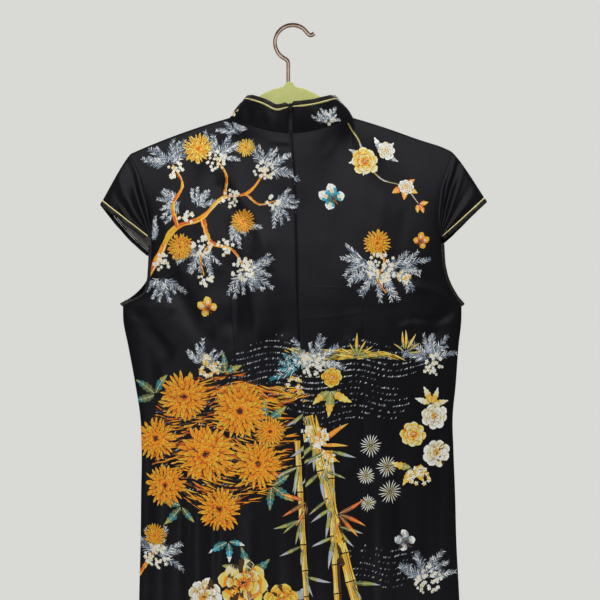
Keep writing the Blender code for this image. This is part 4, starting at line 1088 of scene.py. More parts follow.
def boardRings():
    # the board from tip to tip: its top follows the dome, then lies under the shoulders; a rounded
    # box is its section, and both tips round off as a quarter circle
    dome, reach, tip = float(hangerDome["drop"][-1]), hanger["reach"], hanger["tip"]
    out = np.unique(np.concatenate((np.linspace(0, 14, 22), np.linspace(14, dome, 34),
                                    np.linspace(dome, reach - tip, 44),
                                    reach - tip * (1 - np.sin(np.linspace(0, 1.5, 9))))))
    away = np.concatenate((-out[:0:-1], out))
    x, far = hanger["centre"] + away, np.abs(away)
    under = shoulderDrop(np.abs(x - neck["centre"]) - neck["half"]) + hanger["under"]
    under = under + hanger["droop"] * ease((far - reach + hanger["droopFrom"]) / hanger["droopFrom"])
    boss = ease((hanger["bossHalf"] + hanger["bossFlare"] - far) / hanger["bossFlare"]) * hanger["bossRise"]
    t = (far - dome) / (reach - dome)
    inside = far <= dome
    top = np.where(inside, along(hangerDome, "top", far) - boss, under)
    deep = np.where(inside, along(hangerDome, "deep", far) + boss,
                    hangerDome["deep"][-1] * (1 - t) + hanger["deepAtTip"] * t)
    cut = tip - np.sqrt(np.clip(tip**2 - (tip - np.clip(reach - far, 0, tip)) ** 2, 0, None))
    top, deep = (top + cut)[:, None], (deep - 2 * cut)[:, None]
    corner = np.linspace(0, math.pi / 2, 6)[None, :]
    edge = np.minimum(hanger["edge"], deep / 4)
    parts = []
    for front, high in ((-1, 1), (-1, -1), (1, -1), (1, 1)):
        turn = corner if front == high else corner[:, ::-1]
        y = front * (hanger["half"] - edge * (1 - np.cos(turn)))
        z = (-top if high > 0 else -top - deep) - high * edge * (1 - np.sin(turn))
        parts.append(np.stack((x[:, None] + 0 * z, y + 0 * z, z), -1))
    return np.concatenate(parts, 1)


def bezier(points, t):
    # a curve from its control points, which are blended pair by pair until one is left
    p = [np.array(q, float) for q in points]
    while len(p) > 1:
        p = [a * (1 - t[:, None]) + b * t[:, None] for a, b in zip(p, p[1:])]
    return p[0]


def hookPath():
    # straight out of the board, a short bend, an arc of the loop, and the tip's curve outwards
    centre = np.array((hook["loopX"], hook["width"] / 2 - hook["loop"]))
    angle = np.radians(np.linspace(hook["from"], hook["to"], 90))
    loop = centre + hook["loop"] * np.stack((np.cos(angle), np.sin(angle)), -1)
    boardTop = hanger["bossRise"] - hangerDome["top"][0]
    x, start = hook["stem"], loop[0][1] - hook["bendFrom"]
    stem = np.stack((np.full(8, x), np.linspace(boardTop - hook["inBoard"], start, 8, endpoint=False)), -1)
    bend = bezier(((x, start), (x, loop[0][1] - hook["bendAt"]), loop[0]), np.linspace(0, 1, 12)[:-1])
    tip = bezier((loop[-1], *[loop[-1] + p for p in hook["tip"]]), np.linspace(0, 1, 22)[1:])
    return np.concatenate((stem, bend, loop, tip))


def makeHook():
    # a channel with rounded corners, open towards the back, carried along the hook's path; the faces
    # of its floor have a lighter paint of their own as a painted highlight, and its edges a darker one as
    # painted shade
    path = hookPath()
    run = unit(np.gradient(path, axis=0))
    side = np.stack((-run[:, 1], run[:, 0]), -1)
    w, d, t, r, lip, fillet = [hook[k] for k in ("width", "deep", "sheet", "corner", "lip", "fillet")]
    w, d = w / 2, d / 2
    left = [(-w, -d + lip), (-w, d - r * 2), (-w + r * 0.6, d - r * 0.6), (-w + r * 2, d)]
    right = [(w - lip, -d), (w - t + lip, -d), (w - t, -d + lip), (w - t, d - t - fillet),
             (w - t - fillet, d - t)]
    u, v = np.array(left + [(-x, y) for x, y in left[::-1]] + right + [(-x, y) for x, y in right[::-1]]).T
    rings = np.stack((path[:, :1] + side[:, :1] * u, 0 * path[:, :1] + v, path[:, 1:] + side[:, 1:] * u), -1)
    floor = np.tile(np.isin(np.arange(len(u)), (11, 12, 13)).astype(int), len(rings) - 1)
    ob = sweep("hangerHook", rings, [roseGold, roseHighlightFloor], floor)
    return finishPiece(ob, "dress", "hanger_hook")


sageFlock = flockPaint()
# painted shade on the hook's edges, and a painted highlight on its floor
roseGold = rosePaint("roseGold", *hook["edge"])
roseHighlightFloor = rosePaint("roseGoldFloor", *hook["floor"])
finishPiece(sweep("hangerBoard", boardRings(), [sageFlock]), "dress", "hanger_body")
makeHook()
print("hanger made")


inks = {
    "orange": (236, 148, 24), "deepOrange": (212, 98, 20), "gold": (226, 176, 48), "yellow": (230, 206, 98),
    "cream": (226, 218, 178), "white": (232, 234, 230), "mist": (160, 170, 182), "slate": (104, 116, 132),
    "olive": (150, 152, 74), "moss": (92, 104, 62), "teal": (48, 118, 118), "turquoise": (62, 160, 188),
    "brown": (140, 82, 32), "umber": (70, 44, 22), "ground": (20, 20, 22),
}
tints = {
    "fire": ("umber", "deepOrange", "orange", "orange", "gold"), "gold": ("deepOrange", "orange", "gold"),
    "sun": ("deepOrange", "orange", "gold", "yellow"), "blush": ("deepOrange", "orange", "yellow", "cream"),
    "frost": ("slate", "mist", "white"), "snow": ("white", "cream", "white"),
    "cream": ("gold", "cream", "white"), "moss": ("moss", "olive", "mist"),
    "sea": ("teal", "turquoise", "white"), "pine": ("moss", "teal", "olive"),
    "straw": ("olive", "gold", "yellow"), "bark": ("brown", "deepOrange", "orange"),
}
printing = {
    "lift": 0.16, "layerLift": 0.035,  # mm off the cloth, and mm more for each layer
    "fine": 1.6,  # a narrower stroke, in mm, is two points wide and not three
    "least": 0.01, "most": 200.0,  # the area that a quad may have, in square mm
    "seeds": {"back": 100, "front": 700, "collar": 900}, "rightShift": 7.0, "step": 4.0,
}
inkNames = list(inks)
inkPaints = [Paint("ink" + name[0].upper() + name[1:], baseColor=linear(*inks[name]), roughness=0.5,
                   sheenWeight=0.05, specularIorLevel=0.35) for name in inkNames]


def strokes(start, heading, length, bend, stations):
    # many strokes at once: each leaves its start at its heading and turns evenly by bend over its length
    start = np.atleast_2d(np.asarray(start, float))
    heading, length, bend = [np.broadcast_to(np.asarray(v, float), (len(start),))
                             for v in (heading, length, bend)]
    turn = heading[:, None] + bend[:, None] * np.linspace(0, 1, stations)
    step = (length / (stations - 1))[:, None, None]
    run = np.stack((np.cos(turn), np.sin(turn)), -1) * step
    return np.concatenate((np.zeros((len(run), 1, 2)), run[:, :-1]), 1).cumsum(1) + start[:, None]


def polar(x, y, radius, angle):
    # places at a distance and an angle from a point
    return np.stack((x + radius * np.cos(angle), y + radius * np.sin(angle)), -1)


def swelling(stations, blunt=0.8, power=0.7):
    # a petal's width along it: sin(pi t^blunt)^power
    return np.sin(math.pi * np.linspace(0, 1, stations) ** blunt) ** power


def drawn(rng, mid, wide, names, layer, blend=0.6, rim=0.0, rimInk="umber"):
    # strokes with their inks in order from foot to tip, unevenly; a rim is a darker stroke under them
    k, n = mid.shape[:2]
    wide = np.broadcast_to(wide, (k, n))
    at = (np.arange(n - 1) + 0.5) / (n - 1) * len(names) + rng.uniform(-blend, blend, (k, 1))
    ink = np.array([inkNames.index(v) for v in names])[np.clip(at.astype(int), 0, len(names) - 1)]
    lift = np.broadcast_to(layer, (k,)) + rng.uniform(0, 0.4, k)
    out = [(mid, wide, ink, lift)]
    if rim:
        out.append((mid, wide + rim, np.full_like(ink, inkNames.index(rimInk)), lift - 0.5))
    return out


def speckled(rng, mid, wide, names, layer):
    # strokes of one ink each, drawn from the names at random
    ink = np.array([inkNames.index(v) for v in names])[rng.integers(0, len(names), (len(mid), 1))]
    return [(mid, np.broadcast_to(wide, mid.shape[:2]), np.repeat(ink, mid.shape[1] - 1, 1),
             layer + rng.uniform(0, 0.4, len(mid)))]


def plume(rng, x, y, aim, spread, length, tint="frost", pairs=13):
    # a fan of feathery sprigs: thin stems, and along each pairs of needles that shorten to its tip
    count = max(3, int(spread * 3.6))
    head = aim + spread * (np.linspace(-0.5, 0.5, count) + rng.uniform(-0.06, 0.06, count))
    long = length * rng.uniform(0.75, 1.15, count)
    bend = rng.uniform(-0.5, 0.5, count)
    stems = strokes(polar(x, y, rng.uniform(0, length * 0.25, count), head), head, long, bend, 12)
    out = drawn(rng, stems, 0.9 - 0.5 * np.linspace(0, 1, 12), tints[tint][:2], 0)
    t = np.linspace(0.1, 0.98, pairs)
    index = np.minimum((t * 11).astype(int), 10)
    share = (t * 11 - index)[:, None]
    foot = stems[:, index] * (1 - share) + stems[:, index + 1] * share
    foot = np.repeat(foot[:, :, None], 2, 2).reshape(-1, 2)
    turn = np.tile((-1, 1), count * pairs) * rng.uniform(0.5, 0.95, count * pairs * 2)
    turn = turn + np.repeat(head[:, None] + bend[:, None] * t, 2, 1).ravel()
    long = np.repeat(long[:, None] * 0.25 * (1 - 0.62 * t), 2, 1).ravel() * rng.uniform(0.65, 1.3, len(turn))
    needles = strokes(foot, turn, long + 0.8, rng.uniform(-0.4, 0.4, len(turn)), 4)
    return out + speckled(rng, needles, np.array((0.5, 1.0, 0.8, 0.2)), tints[tint], 1)


def blossoms(rng, x, y, spread, size=2.6, tint="snow"):
    # small five-petalled flowers scattered over a round patch
    count = int(0.15 * spread**2 * (2.6 / size))
    centre = polar(x, y, spread * np.sqrt(rng.uniform(0, 1, count)), rng.uniform(0, 2 * math.pi, count))
    turn = rng.uniform(0, 2 * math.pi, (count, 1)) + np.arange(5) * 2 * math.pi / 5
    big = np.repeat(size * rng.uniform(0.75, 1.2, count), 5)
    petals = strokes(np.repeat(centre, 5, 0), turn.ravel(), big, 0.0, 4)
    layer = 4 + np.repeat(rng.integers(0, 4, count), 5) * 0.5
    wide = big[:, None] * 0.42 * np.array((0.3, 1.3, 1.6, 0.5))
    hearts = strokes(centre - (0.5, 0), 0.0, 1.0, 0.0, 3)
    return (speckled(rng, petals, wide, tints[tint], layer)
            + drawn(rng, hearts, (0.5, 1.0, 0.5), ("gold",), 6.2))


def chrysanthemum(rng, x, y, radius, tint="gold"):
    # rings of narrow petals laid from the outside in, each ring shorter and closer to the heart
    out, first = [], rng.uniform(0, 1)
    for k, (foot, long, count) in enumerate(((0.42, 0.58, 23), (0.34, 0.50, 21), (0.24, 0.44, 18),
                                             (0.14, 0.36, 14), (0.04, 0.26, 10))):
        a = first + np.arange(count) * 2 * math.pi / count + rng.uniform(-0.07, 0.07, count)
        mid = strokes(polar(x, y, radius * foot, a), a - 0.1, radius * long * rng.uniform(0.86, 1.08, count),
                      rng.uniform(-0.35, 0.5, count), 8)
        wide = radius * (0.125 + 0.012 * k) * swelling(8, 1.25, 0.75) * rng.uniform(0.8, 1.15, (count, 1))
        out += drawn(rng, mid, wide, tints[tint], 3 + k, 0.9, 0.8)
        if radius > 24:
            out += drawn(rng, mid[:, 1:6], 0.28, ("umber", "brown"), 3.6 + k)
    return out


def peony(rng, x, y, radius, tint="blush"):
    # rings of broad scalloped petals with fine veins and a heart of stamens
    out, first = [], rng.uniform(0, 1)
    for k, (foot, long, count, broad) in enumerate(((0.32, 0.68, 8, 0.62), (0.18, 0.56, 7, 0.52),
                                                    (0.06, 0.40, 5, 0.42))):
        a = first + 0.4 * k + np.arange(count) * 2 * math.pi / count + rng.uniform(-0.12, 0.12, count)
        start, length = polar(x, y, radius * foot, a), radius * long * rng.uniform(0.85, 1.08, count)
        scallop = 1 + 0.10 * np.sin(np.linspace(0, 17, 9) + rng.uniform(0, 6, (count, 1)))
        out += drawn(rng, strokes(start, a, length, rng.uniform(-0.15, 0.15, count), 9),
                     radius * broad * swelling(9, 1.45, 0.6) * scallop, tints[tint], 3 + k * 1.2, 0.7, 1.0)
        for lean in (-0.42, -0.16, 0.14, 0.40):
            out += drawn(rng, strokes(start, a + lean * 0.8, length * 0.8, lean * 0.3, 6),
                         np.linspace(0.5, 0.2, 6), ("deepOrange", "brown"), 3.5 + k * 1.2)
    dots = strokes(rng.normal(0, radius * 0.09, (14, 2)) + (x, y), rng.uniform(0, 6, 14), 1.6, 0, 3)
    return out + drawn(rng, dots, (0.4, 0.9, 0.4), ("yellow", "cream"), 8)


def leaves(rng, x, y, aim, spread, count, length, tint="pine", broad=0.34):
    # a fan of toothed leaves, each with a rib and slanting veins
    head = aim + spread * np.linspace(-0.5, 0.5, count)
    long, bend = length * rng.uniform(0.8, 1.15, count), rng.uniform(-0.5, 0.5, count)
    mid = strokes(polar(x, y, 2.0, head), head, long, bend, 11)
    wide = long[:, None] * broad * swelling(11, 0.75, 0.9) * (1 + 0.16 * (np.arange(11) % 2 * 2 - 1))
    out = drawn(rng, mid, wide, tints[tint], 1, 0.9, 0.7, "ground")
    out += drawn(rng, mid[:, :10], np.linspace(0.7, 0.25, 10), ("cream",), 1.8)
    for k in (2, 4, 6, 8):
        for lean in (-0.8, 0.8):
            vein = strokes(mid[:, k], head + bend * k / 10 + lean, wide[:, k] * 0.5, 0.0, 3)
            out += drawn(rng, vein, (0.4, 0.3, 0.15), ("cream",), 1.8)
    return out


def blades(rng, x, y, aim, spread, count, length, tint="straw"):
    # long pointed leaves, each with one light rib
    head = aim + spread * np.linspace(-0.5, 0.5, count) + rng.uniform(-0.1, 0.1, count)
    long = length * rng.uniform(0.7, 1.15, count)
    mid = strokes(polar(x, y, rng.uniform(1, 6, count), head), head, long, rng.uniform(-0.35, 0.35, count), 9)
    wide = long[:, None] * 0.14 * swelling(9, 0.7, 0.9)
    return (drawn(rng, mid, wide, tints[tint], 3.4, 0.9, 0.7, "ground")
            + drawn(rng, mid[:, :8], 0.35, ("cream",), 4.2))


def bough(rng, points, thick, thin, tint="gold", stations=46):
    # a crooked branch: a dark edge, a body that wavers in width, a light side and cross marks
    p = np.array(points, float)
    long = runLength(p)
    s = np.linspace(0, 1, stations)
    mid = np.stack([along({"drop": long, "v": p[:, k]}, "v", s * long[-1]) for k in (0, 1)], -1)
    wide = (thick * (1 - s) + thin * s) * (1 + 0.16 * np.sin(s * 37 + p[0, 0]) + 0.10 * np.sin(s * 83))
    run = unit(np.gradient(mid, axis=0))
    side = np.stack((-run[:, 1], run[:, 0]), -1)
    lit = mid + side * wide[:, None] * 0.28
    out = drawn(rng, mid[None], wide, tints[tint] * 3, 2, 0.5, 1.1)
    out += drawn(rng, lit[None], wide * 0.2, ("yellow", "cream", "gold") * 2, 2.8)
    at = rng.integers(2, stations - 2, int(stations * 0.9))
    foot = mid[at] + side[at] * (wide[at] * rng.uniform(-0.4, 0.15, len(at)))[:, None]
    head = np.arctan2(run[at, 1], run[at, 0]) + rng.normal(0, 0.25, len(at))
    marks = strokes(foot, head, thick * 0.5, 0.1, 4)
    return out + drawn(rng, marks, (0.2, 0.7, 0.6, 0.1), tints["bark"], 3.2)


def butterfly(rng, x, y, size, turn, tint="sea"):
    # two wings a side, each a swelling stroke with a paler patch and veins, a body and feelers
    out, wing = [], tints[tint]
    for side in (-1, 1):
        for lean, long, broad, bend, layer in ((0.62, 1.0, 0.62, -0.5, 4.0), (1.75, 0.72, 0.60, 0.5, 3.0)):
            a = turn + side * lean
            mid = strokes((x, y), a, size * long, side * bend, 9)
            wide = size * broad * swelling(9, 1.35, 0.75)
            out += drawn(rng, mid, wide, wing, layer, 0.2, 0.9)
            out += drawn(rng, mid[:, 3:8], wide[3:8] * 0.42, ("cream", wing[-1]), layer + 0.5, 0.2)
            for vein in (-0.3, 0.0, 0.3):
                out += drawn(rng, strokes((x, y), a + vein, size * long * 0.85, side * bend, 6), 0.35,
                             ("umber", wing[0]), layer + 0.9)
        out += drawn(rng, strokes((x, y), turn + side * 0.35, size * 0.55, side * 0.35, 6), 0.4, ("mist",), 5)
    body = strokes(polar(x, y, 0.28 * size, turn), turn + math.pi, size * 0.75, 0.1, 8)
    return out + drawn(rng, body, size * 0.11 * swelling(8, 0.7), ("umber", "brown"), 5.5)


def bamboo(rng, x0, y0, x1, y1, thick):
    # a culm in lengths with a gap at each joint, a shaded and a lit side, and leaves from the joints
    long, head = math.hypot(x1 - x0, y1 - y0), math.atan2(y1 - y0, x1 - x0)
    count = max(3, int(long / 34))
    start = polar(x0, y0, np.linspace(0, long, count + 1)[:-1][:, None], head)[:, 0]
    mid = strokes(start, head, long / count - 1.6, 0.0, 9)
    wide = thick * (1 + 0.16 * np.abs(np.linspace(-1, 1, 9)) ** 4)
    out = drawn(rng, mid, wide, ("gold", "yellow"), 2, 0.4, 1.0)
    side = np.array((-math.sin(head), math.cos(head)))
    for off, ink in ((-0.3, "brown"), (0.24, "cream"), (-0.1, "olive"), (0.08, "orange")):
        out += drawn(rng, mid + side * thick * off, thick * 0.10, (ink,), 2.8)
    for foot in start[rng.integers(0, count, count)]:
        out += blades(rng, *foot, head + rng.choice((-0.7, 0.7)), 0.9, 2, 34, "moss")
    return out


def aster(rng, x, y, radius):
    # thin rays round a small dark heart
    a = np.arange(19) * 2 * math.pi / 19 + rng.uniform(-0.06, 0.06, 19)
    mid = strokes(polar(x, y, radius * 0.16, a), a, radius * rng.uniform(0.7, 0.95, 19), 0.1, 5)
    heart = strokes((x - 1.5, y), 0.0, 3.0, 0, 5)
    return (drawn(rng, mid, (0.3, 0.6, 1.1, 1.0, 0.2), ("cream", "white"), 2)
            + drawn(rng, heart, 2.6 * swelling(5, 1, 0.5), ("olive",), 2.6))


def patch(rng, x, y, wide, tall, count):
    # places spread evenly over an ellipse
    radius = np.sqrt(rng.uniform(0, 1, count))
    return polar(0, 0, radius, rng.uniform(0, 2 * math.pi, count)) * (wide, tall) + (x, y)


def dashes(rng, x, y, wide, tall, count, tint="frost"):
    # wavy rows of little slanting dashes, as shading on the ground
    at = patch(rng, x, y, wide, tall, count)
    at[:, 1] = np.round(at[:, 1] / 8) * 8 + 5 * np.sin(at[:, 0] / 17)
    mid = strokes(at, -0.9 + rng.normal(0, 0.15, count), rng.uniform(1.5, 3.5, count), 0.0, 3)
    return speckled(rng, mid, (0.2, 0.75, 0.2), tints[tint], 0.5)


def brushwork(rng, x, y, wide, tall, aim, count, tint="fire"):
    # long dry strokes that follow one another across a patch
    at = patch(rng, x, y, wide, tall, count)
    head = aim + 0.35 * np.sin(at[:, 0] / 23 + at[:, 1] / 31) + rng.normal(0, 0.08, count)
    mid = strokes(at, head, rng.uniform(6, 24, count), rng.uniform(-0.4, 0.4, count), 6)
    return speckled(rng, mid, rng.uniform(0.6, 2.2, (count, 1)) * np.array((0.2, 0.9, 1.0, 0.8, 0.5, 0.1)),
                    tints[tint], 0.6)


motifs = {"plume": plume, "bloom": blossoms, "mum": chrysanthemum, "peony": peony, "leaf": leaves,
          "blade": blades, "bough": bough, "fly": butterfly, "cane": bamboo, "aster": aster, "dash": dashes,
          "brush": brushwork}


def drawAll(rows, seed):
    # each row draws from its own seed, so that one row's change leaves the others alone
    parts = []
    for k, (kind, *row) in enumerate(rows):
        parts += motifs[kind](np.random.default_rng(seed + k), *row)
    return parts


# in mm as the back is seen: x from the hanger's middle, and drop; then each motif's own values
backRows = [
    # a plum tree over the left shoulder
    ("plume", -164, 190, -2.0, 2.4, 33), ("plume", -104, 182, -1.4, 2.6, 33),
    ("plume", -36, 200, -0.9, 2.4, 32), ("plume", -62, 332, 1.0, 2.8, 34),
    ("plume", -24, 244, 0.4, 2.2, 27), ("plume", -122, 304, 1.9, 2.6, 34),
    ("plume", -184, 292, -2.3, 1.7, 28), ("plume", -80, 268, 0.9, 1.8, 28),
    ("plume", -150, 240, 2.9, 2.0, 28), ("plume", -128, 250, -1.2, 1.6, 26),
    ("plume", -176, 340, 1.6, 2.2, 32), ("plume", -72, 152, -1.7, 1.8, 26),
    ("bough", ((-206, 352), (-184, 322), (-156, 276), (-122, 264), (-92, 236), (-62, 232), (-34, 200)),
     10, 2.2),
    ("bough", ((-154, 274), (-160, 246), (-148, 218), (-162, 190)), 6.0, 1.8),
    ("bough", ((-120, 264), (-108, 296), (-80, 306), (-62, 334)), 7.0, 1.8),
    ("bough", ((-92, 236), (-88, 208), (-104, 182)), 4.4, 1.5),
    ("bough", ((-62, 232), (-44, 246), (-24, 242)), 3.4, 1.4),
    ("bough", ((-108, 296), (-122, 318), (-118, 340)), 3.6, 1.4), ("bloom", -102, 186, 14),
    ("bloom", -38, 202, 13), ("bloom", -64, 332, 17), ("bloom", -120, 300, 14), ("bloom", -158, 198, 12),
    ("bloom", -82, 238, 12), ("bloom", -26, 244, 9), ("bloom", -176, 322, 12), ("bloom", -142, 262, 10),
    ("bloom", -90, 302, 11), ("bloom", -116, 344, 10), ("leaf", -128, 168, -0.6, 4.4, 4, 18, "sea"),
    ("mum", -128, 168, 22, "sun"), ("mum", -66, 268, 17, "gold"), ("mum", -150, 302, 19, "gold"),
    ("mum", -62, 170, 13, "sun"), ("fly", -112, 384, 17, -2.2, "sun"),
    # peonies on a trailing stem from the right of the collar
    ("bough", ((74, 128), (88, 150), (96, 176), (118, 204), (150, 214), (168, 236)), 2.4, 1.2, "moss", 30),
    ("leaf", 96, 178, 2.2, 3.2, 4, 25, "frost"), ("leaf", 122, 168, -0.8, 2.6, 3, 22, "frost"),
    ("leaf", 150, 214, 1.0, 3.6, 4, 16, "gold", 0.5), ("leaf", 168, 236, 0.9, 1.8, 3, 13, "gold", 0.5),
    ("peony", 96, 180, 20), ("peony", 126, 164, 13, "snow"), ("peony", 152, 214, 11, "cream"),
    ("fly", 54, 232, 22, -2.3), ("fly", 170, 288, 14, -0.9, "gold"),
    # a golden head over sprigs in the middle of the right
    ("plume", 118, 326, 1.6, 4.2, 36), ("plume", 142, 318, 0.4, 1.8, 34), ("plume", 96, 312, 2.8, 1.8, 32),
    ("bloom", 118, 322, 20), ("bough", ((116, 300), (122, 318), (112, 336), (124, 356)), 4.0, 1.6),
    ("mum", 112, 290, 19, "gold"), ("bloom", 148, 336, 9, 3.2, "cream"),
    # the middle band: blades, shaded ground and thickets
    ("dash", 110, 446, 92, 22, 420), ("dash", -20, 470, 70, 44, 520), ("dash", 66, 500, 90, 34, 380),
    ("brush", 60, 438, 74, 7, 0.1, 110, "straw"), ("blade", 86, 442, -1.6, 2.6, 7, 27),
    ("blade", 150, 436, -1.2, 2.2, 6, 24), ("plume", 30, 452, -1.5, 3.4, 34),
    ("plume", 8, 466, -2.4, 2.2, 30, "sea"), ("bloom", 26, 450, 17),
    ("leaf", 50, 486, 1.6, 2.0, 3, 32, "straw"), ("peony", 52, 468, 14, "sun"),
    ("plume", 186, 446, -1.7, 2.6, 32), ("bloom", 188, 452, 15), ("bloom", 4, 486, 11, 3.2, "cream"),
    # the golden mass low on the left
    ("brush", -104, 560, 96, 92, 0.1, 900), ("brush", -52, 500, 62, 16, -0.1, 170, "gold"),
    ("dash", -110, 560, 86, 84, 420), ("leaf", -34, 532, -0.5, 2.6, 3, 28),
    ("leaf", -186, 500, -2.4, 2.4, 3, 28), ("leaf", -150, 650, 2.2, 2.6, 3, 30),
    ("leaf", -28, 620, 0.6, 2.2, 3, 30), ("leaf", -90, 470, -1.6, 2.2, 3, 26),
    ("mum", -70, 520, 38, "fire"), ("mum", -146, 502, 35, "fire"), ("mum", -186, 560, 30, "fire"),
    ("mum", -116, 578, 41, "fire"), ("mum", -46, 592, 33, "fire"), ("mum", -172, 622, 30, "fire"),
    ("mum", -98, 652, 31, "fire"), ("mum", -30, 548, 21, "fire"), ("bloom", -112, 462, 15, 3.2, "cream"),
    ("plume", -120, 462, -1.5, 2.2, 27), ("leaf", -86, 694, 1.4, 2.6, 3, 26, "sea"),
    # by the right side seam: cream and gold peonies, and asters inside them
    ("leaf", 186, 506, -1.4, 2.6, 4, 25, "cream"), ("leaf", 160, 590, 2.0, 2.4, 3, 25, "straw"),
    ("peony", 192, 522, 19, "cream"), ("peony", 162, 546, 18, "blush"), ("peony", 194, 572, 20, "cream"),
    ("bloom", 170, 602, 15, 3.2, "cream"), ("aster", 104, 560, 15), ("aster", 126, 588, 14),
    ("aster", 98, 600, 12), ("aster", 130, 622, 15), ("aster", 100, 636, 11),
    # bamboo that leans down to the right, with peonies at its foot
    ("cane", 20, 520, 96, 812, 12), ("cane", 48, 566, 64, 830, 9), ("cane", 6, 560, 20, 800, 6.5),
    ("blade", 34, 560, -0.4, 2.4, 4, 42, "gold"), ("blade", 60, 650, 0.6, 2.0, 4, 40, "bark"),
    ("blade", 20, 640, 2.6, 1.6, 3, 36, "bark"), ("bloom", 30, 546, 17, 3.6, "cream"),
    ("bloom", 44, 578, 12, 3.4, "cream"), ("leaf", -60, 740, -0.6, 4.0, 5, 36),
    ("leaf", -6, 776, 0.8, 3.0, 4, 32, "frost"), ("peony", -66, 748, 33), ("peony", -14, 772, 26, "sun"),
    ("peony", -118, 766, 24, "cream"), ("fly", 152, 690, 18, -2.3, "frost"),
    ("plume", 180, 740, -1.6, 3.0, 34), ("bloom", 182, 742, 18), ("plume", -182, 716, -1.2, 3.0, 34),
    ("bloom", -184, 718, 17), ("mum", -186, 690, 17, "gold"),
    ("bough", ((-222, 760), (-206, 740), (-190, 716), (-178, 690)), 6.5, 3.0),
    ("dash", 120, 720, 60, 30, 160),
]
frontRows = [
    ("bough", ((-206, 320), (-150, 290), (-110, 300), (-70, 258), (-30, 262)), 9, 2.4),
    ("bough", ((196, 440), (150, 456), (104, 440), (66, 480), (20, 484)), 9, 2.4),
    ("plume", -110, 290, 1.5, 3.4, 34), ("plume", -60, 258, -1.5, 3.4, 34),
    ("plume", -160, 296, -1.8, 3.0, 34), ("plume", 110, 446, -1.4, 3.4, 34),
    ("plume", 60, 480, 1.6, 3.4, 34), ("plume", 150, 456, 1.2, 3.0, 34), ("bloom", -110, 296, 16),
    ("bloom", -60, 260, 15), ("bloom", 110, 442, 16), ("bloom", 62, 480, 15),
    ("leaf", 96, 224, 0.4, 4.6, 5, 30), ("mum", 96, 224, 28, "fire"), ("mum", 142, 258, 21, "gold"),
    ("leaf", -70, 400, 0.4, 4.6, 5, 30, "sea"), ("mum", -70, 400, 30, "fire"),
    ("mum", -116, 432, 23, "gold"), ("leaf", 60, 344, 2.4, 4.0, 4, 26, "frost"), ("peony", 60, 344, 23),
    ("peony", 104, 364, 17, "cream"), ("fly", -20, 340, 19, -1.2), ("fly", 176, 540, 17, -2.0, "gold"),
    ("brush", -60, 600, 110, 60, 0.1, 700), ("mum", -30, 592, 36, "fire"), ("mum", -104, 566, 32, "fire"),
    ("mum", -92, 640, 34, "fire"), ("mum", -160, 620, 28, "fire"), ("cane", 60, 540, 20, 800, 10),
    ("cane", 90, 570, 70, 820, 8), ("blade", 74, 580, 0.4, 2.4, 5, 40, "gold"), ("peony", 150, 660, 26),
    ("peony", 120, 704, 22, "sun"), ("leaf", 150, 690, 0.8, 4.0, 5, 30), ("peony", -40, 740, 28, "cream"),
    ("dash", 60, 500, 90, 34, 380), ("dash", 120, 620, 60, 60, 260), ("bloom", 60, 560, 15, 3.4, "cream"),
]


def lowerRows(left, right):
    # below the hips the same plants come again in a loose brickwork of bunches
    out = []
    for row, y in enumerate((850, 934, 1018, 1102)):
        for k, x in enumerate(np.arange(left + 40 * (row % 2), right, 92)):
            out += {
                0: [("plume", x, y, -1.0, 4.0, 34), ("bloom", x, y, 16)],
                1: [("leaf", x, y, 0.4, 4.4, 5, 32), ("peony", x, y, 25)],
                2: [("leaf", x, y, 0.9, 4.4, 5, 36), ("mum", x, y, 30, "fire")],
                3: [("cane", x + 16, y - 46, x - 14, y + 40, 7), ("aster", x + 34, y + 8, 12)],
                4: [("fly", x, y - 8, 17, -1.2), ("aster", x + 28, y + 22, 13),
                    ("aster", x - 26, y + 26, 11)],
            }[(row * 2 + k * 3) % 5]
    return out


collarRows = {  # x along the stand from the zip, drop from its upper seam
    -1: [("leaf", 100, 13, 0.4, 4.0, 5, 17, "frost"), ("peony", 100, 13, 12, "blush"),
         ("bloom", 82, 22, 6, 3.2, "cream")],
    1: [("plume", 44, 26, -1.2, 2.4, 19), ("bloom", 48, 22, 7), ("leaf", 124, 14, 0.5, 4.0, 4, 17),
        ("mum", 124, 14, 12, "gold")],
}


def between(grid, row, col):
    # a grid's values between its points, from the four round each place
    i = np.clip(row.astype(int), 0, grid.shape[0] - 2)
    j = np.clip(col.astype(int), 0, grid.shape[1] - 2)
    b, a = np.clip(row - i, 0, 1)[..., None], np.clip(col - j, 0, 1)[..., None]
    return ((1 - b) * ((1 - a) * grid[i, j] + a * grid[i, j + 1])
            + b * ((1 - a) * grid[i + 1, j] + a * grid[i + 1, j + 1]))


def onPanel(hand, shift=0.0):
    # for places as seen, in x and drop: the panel's own surface there, the way out, and if it is cloth
    points, across, rises = panels[hand][1:]
    face, step = -1 if hand else 1, printing["step"]
    xs, drops = np.arange(-256, 257, step), np.arange(60, dress["hem"] + step, step)
    seen = np.stack(placeOn(face, *np.meshgrid(xs, drops)), -1)
    out = -inwardOf(points, (0, 0, -600))

    def place(xy):
        # the panel's column and row at each place, from a grid of places worked out beforehand
        on = between(seen, (xy[..., 1] + shift - drops[0]) / step, (xy[..., 0] - xs[0]) / step)
        at, up = on[..., 0], on[..., 1]
        row, col = [np.interp(v, steps, np.arange(len(steps))) for v, steps in ((up, rises), (at, across))]
        onCloth = (at > across[0]) & (at < across[-1]) & (up > 1) & (up < topRise - 0.5)
        return between(points, row, col), unit(between(out, row, col)), onCloth

    return place


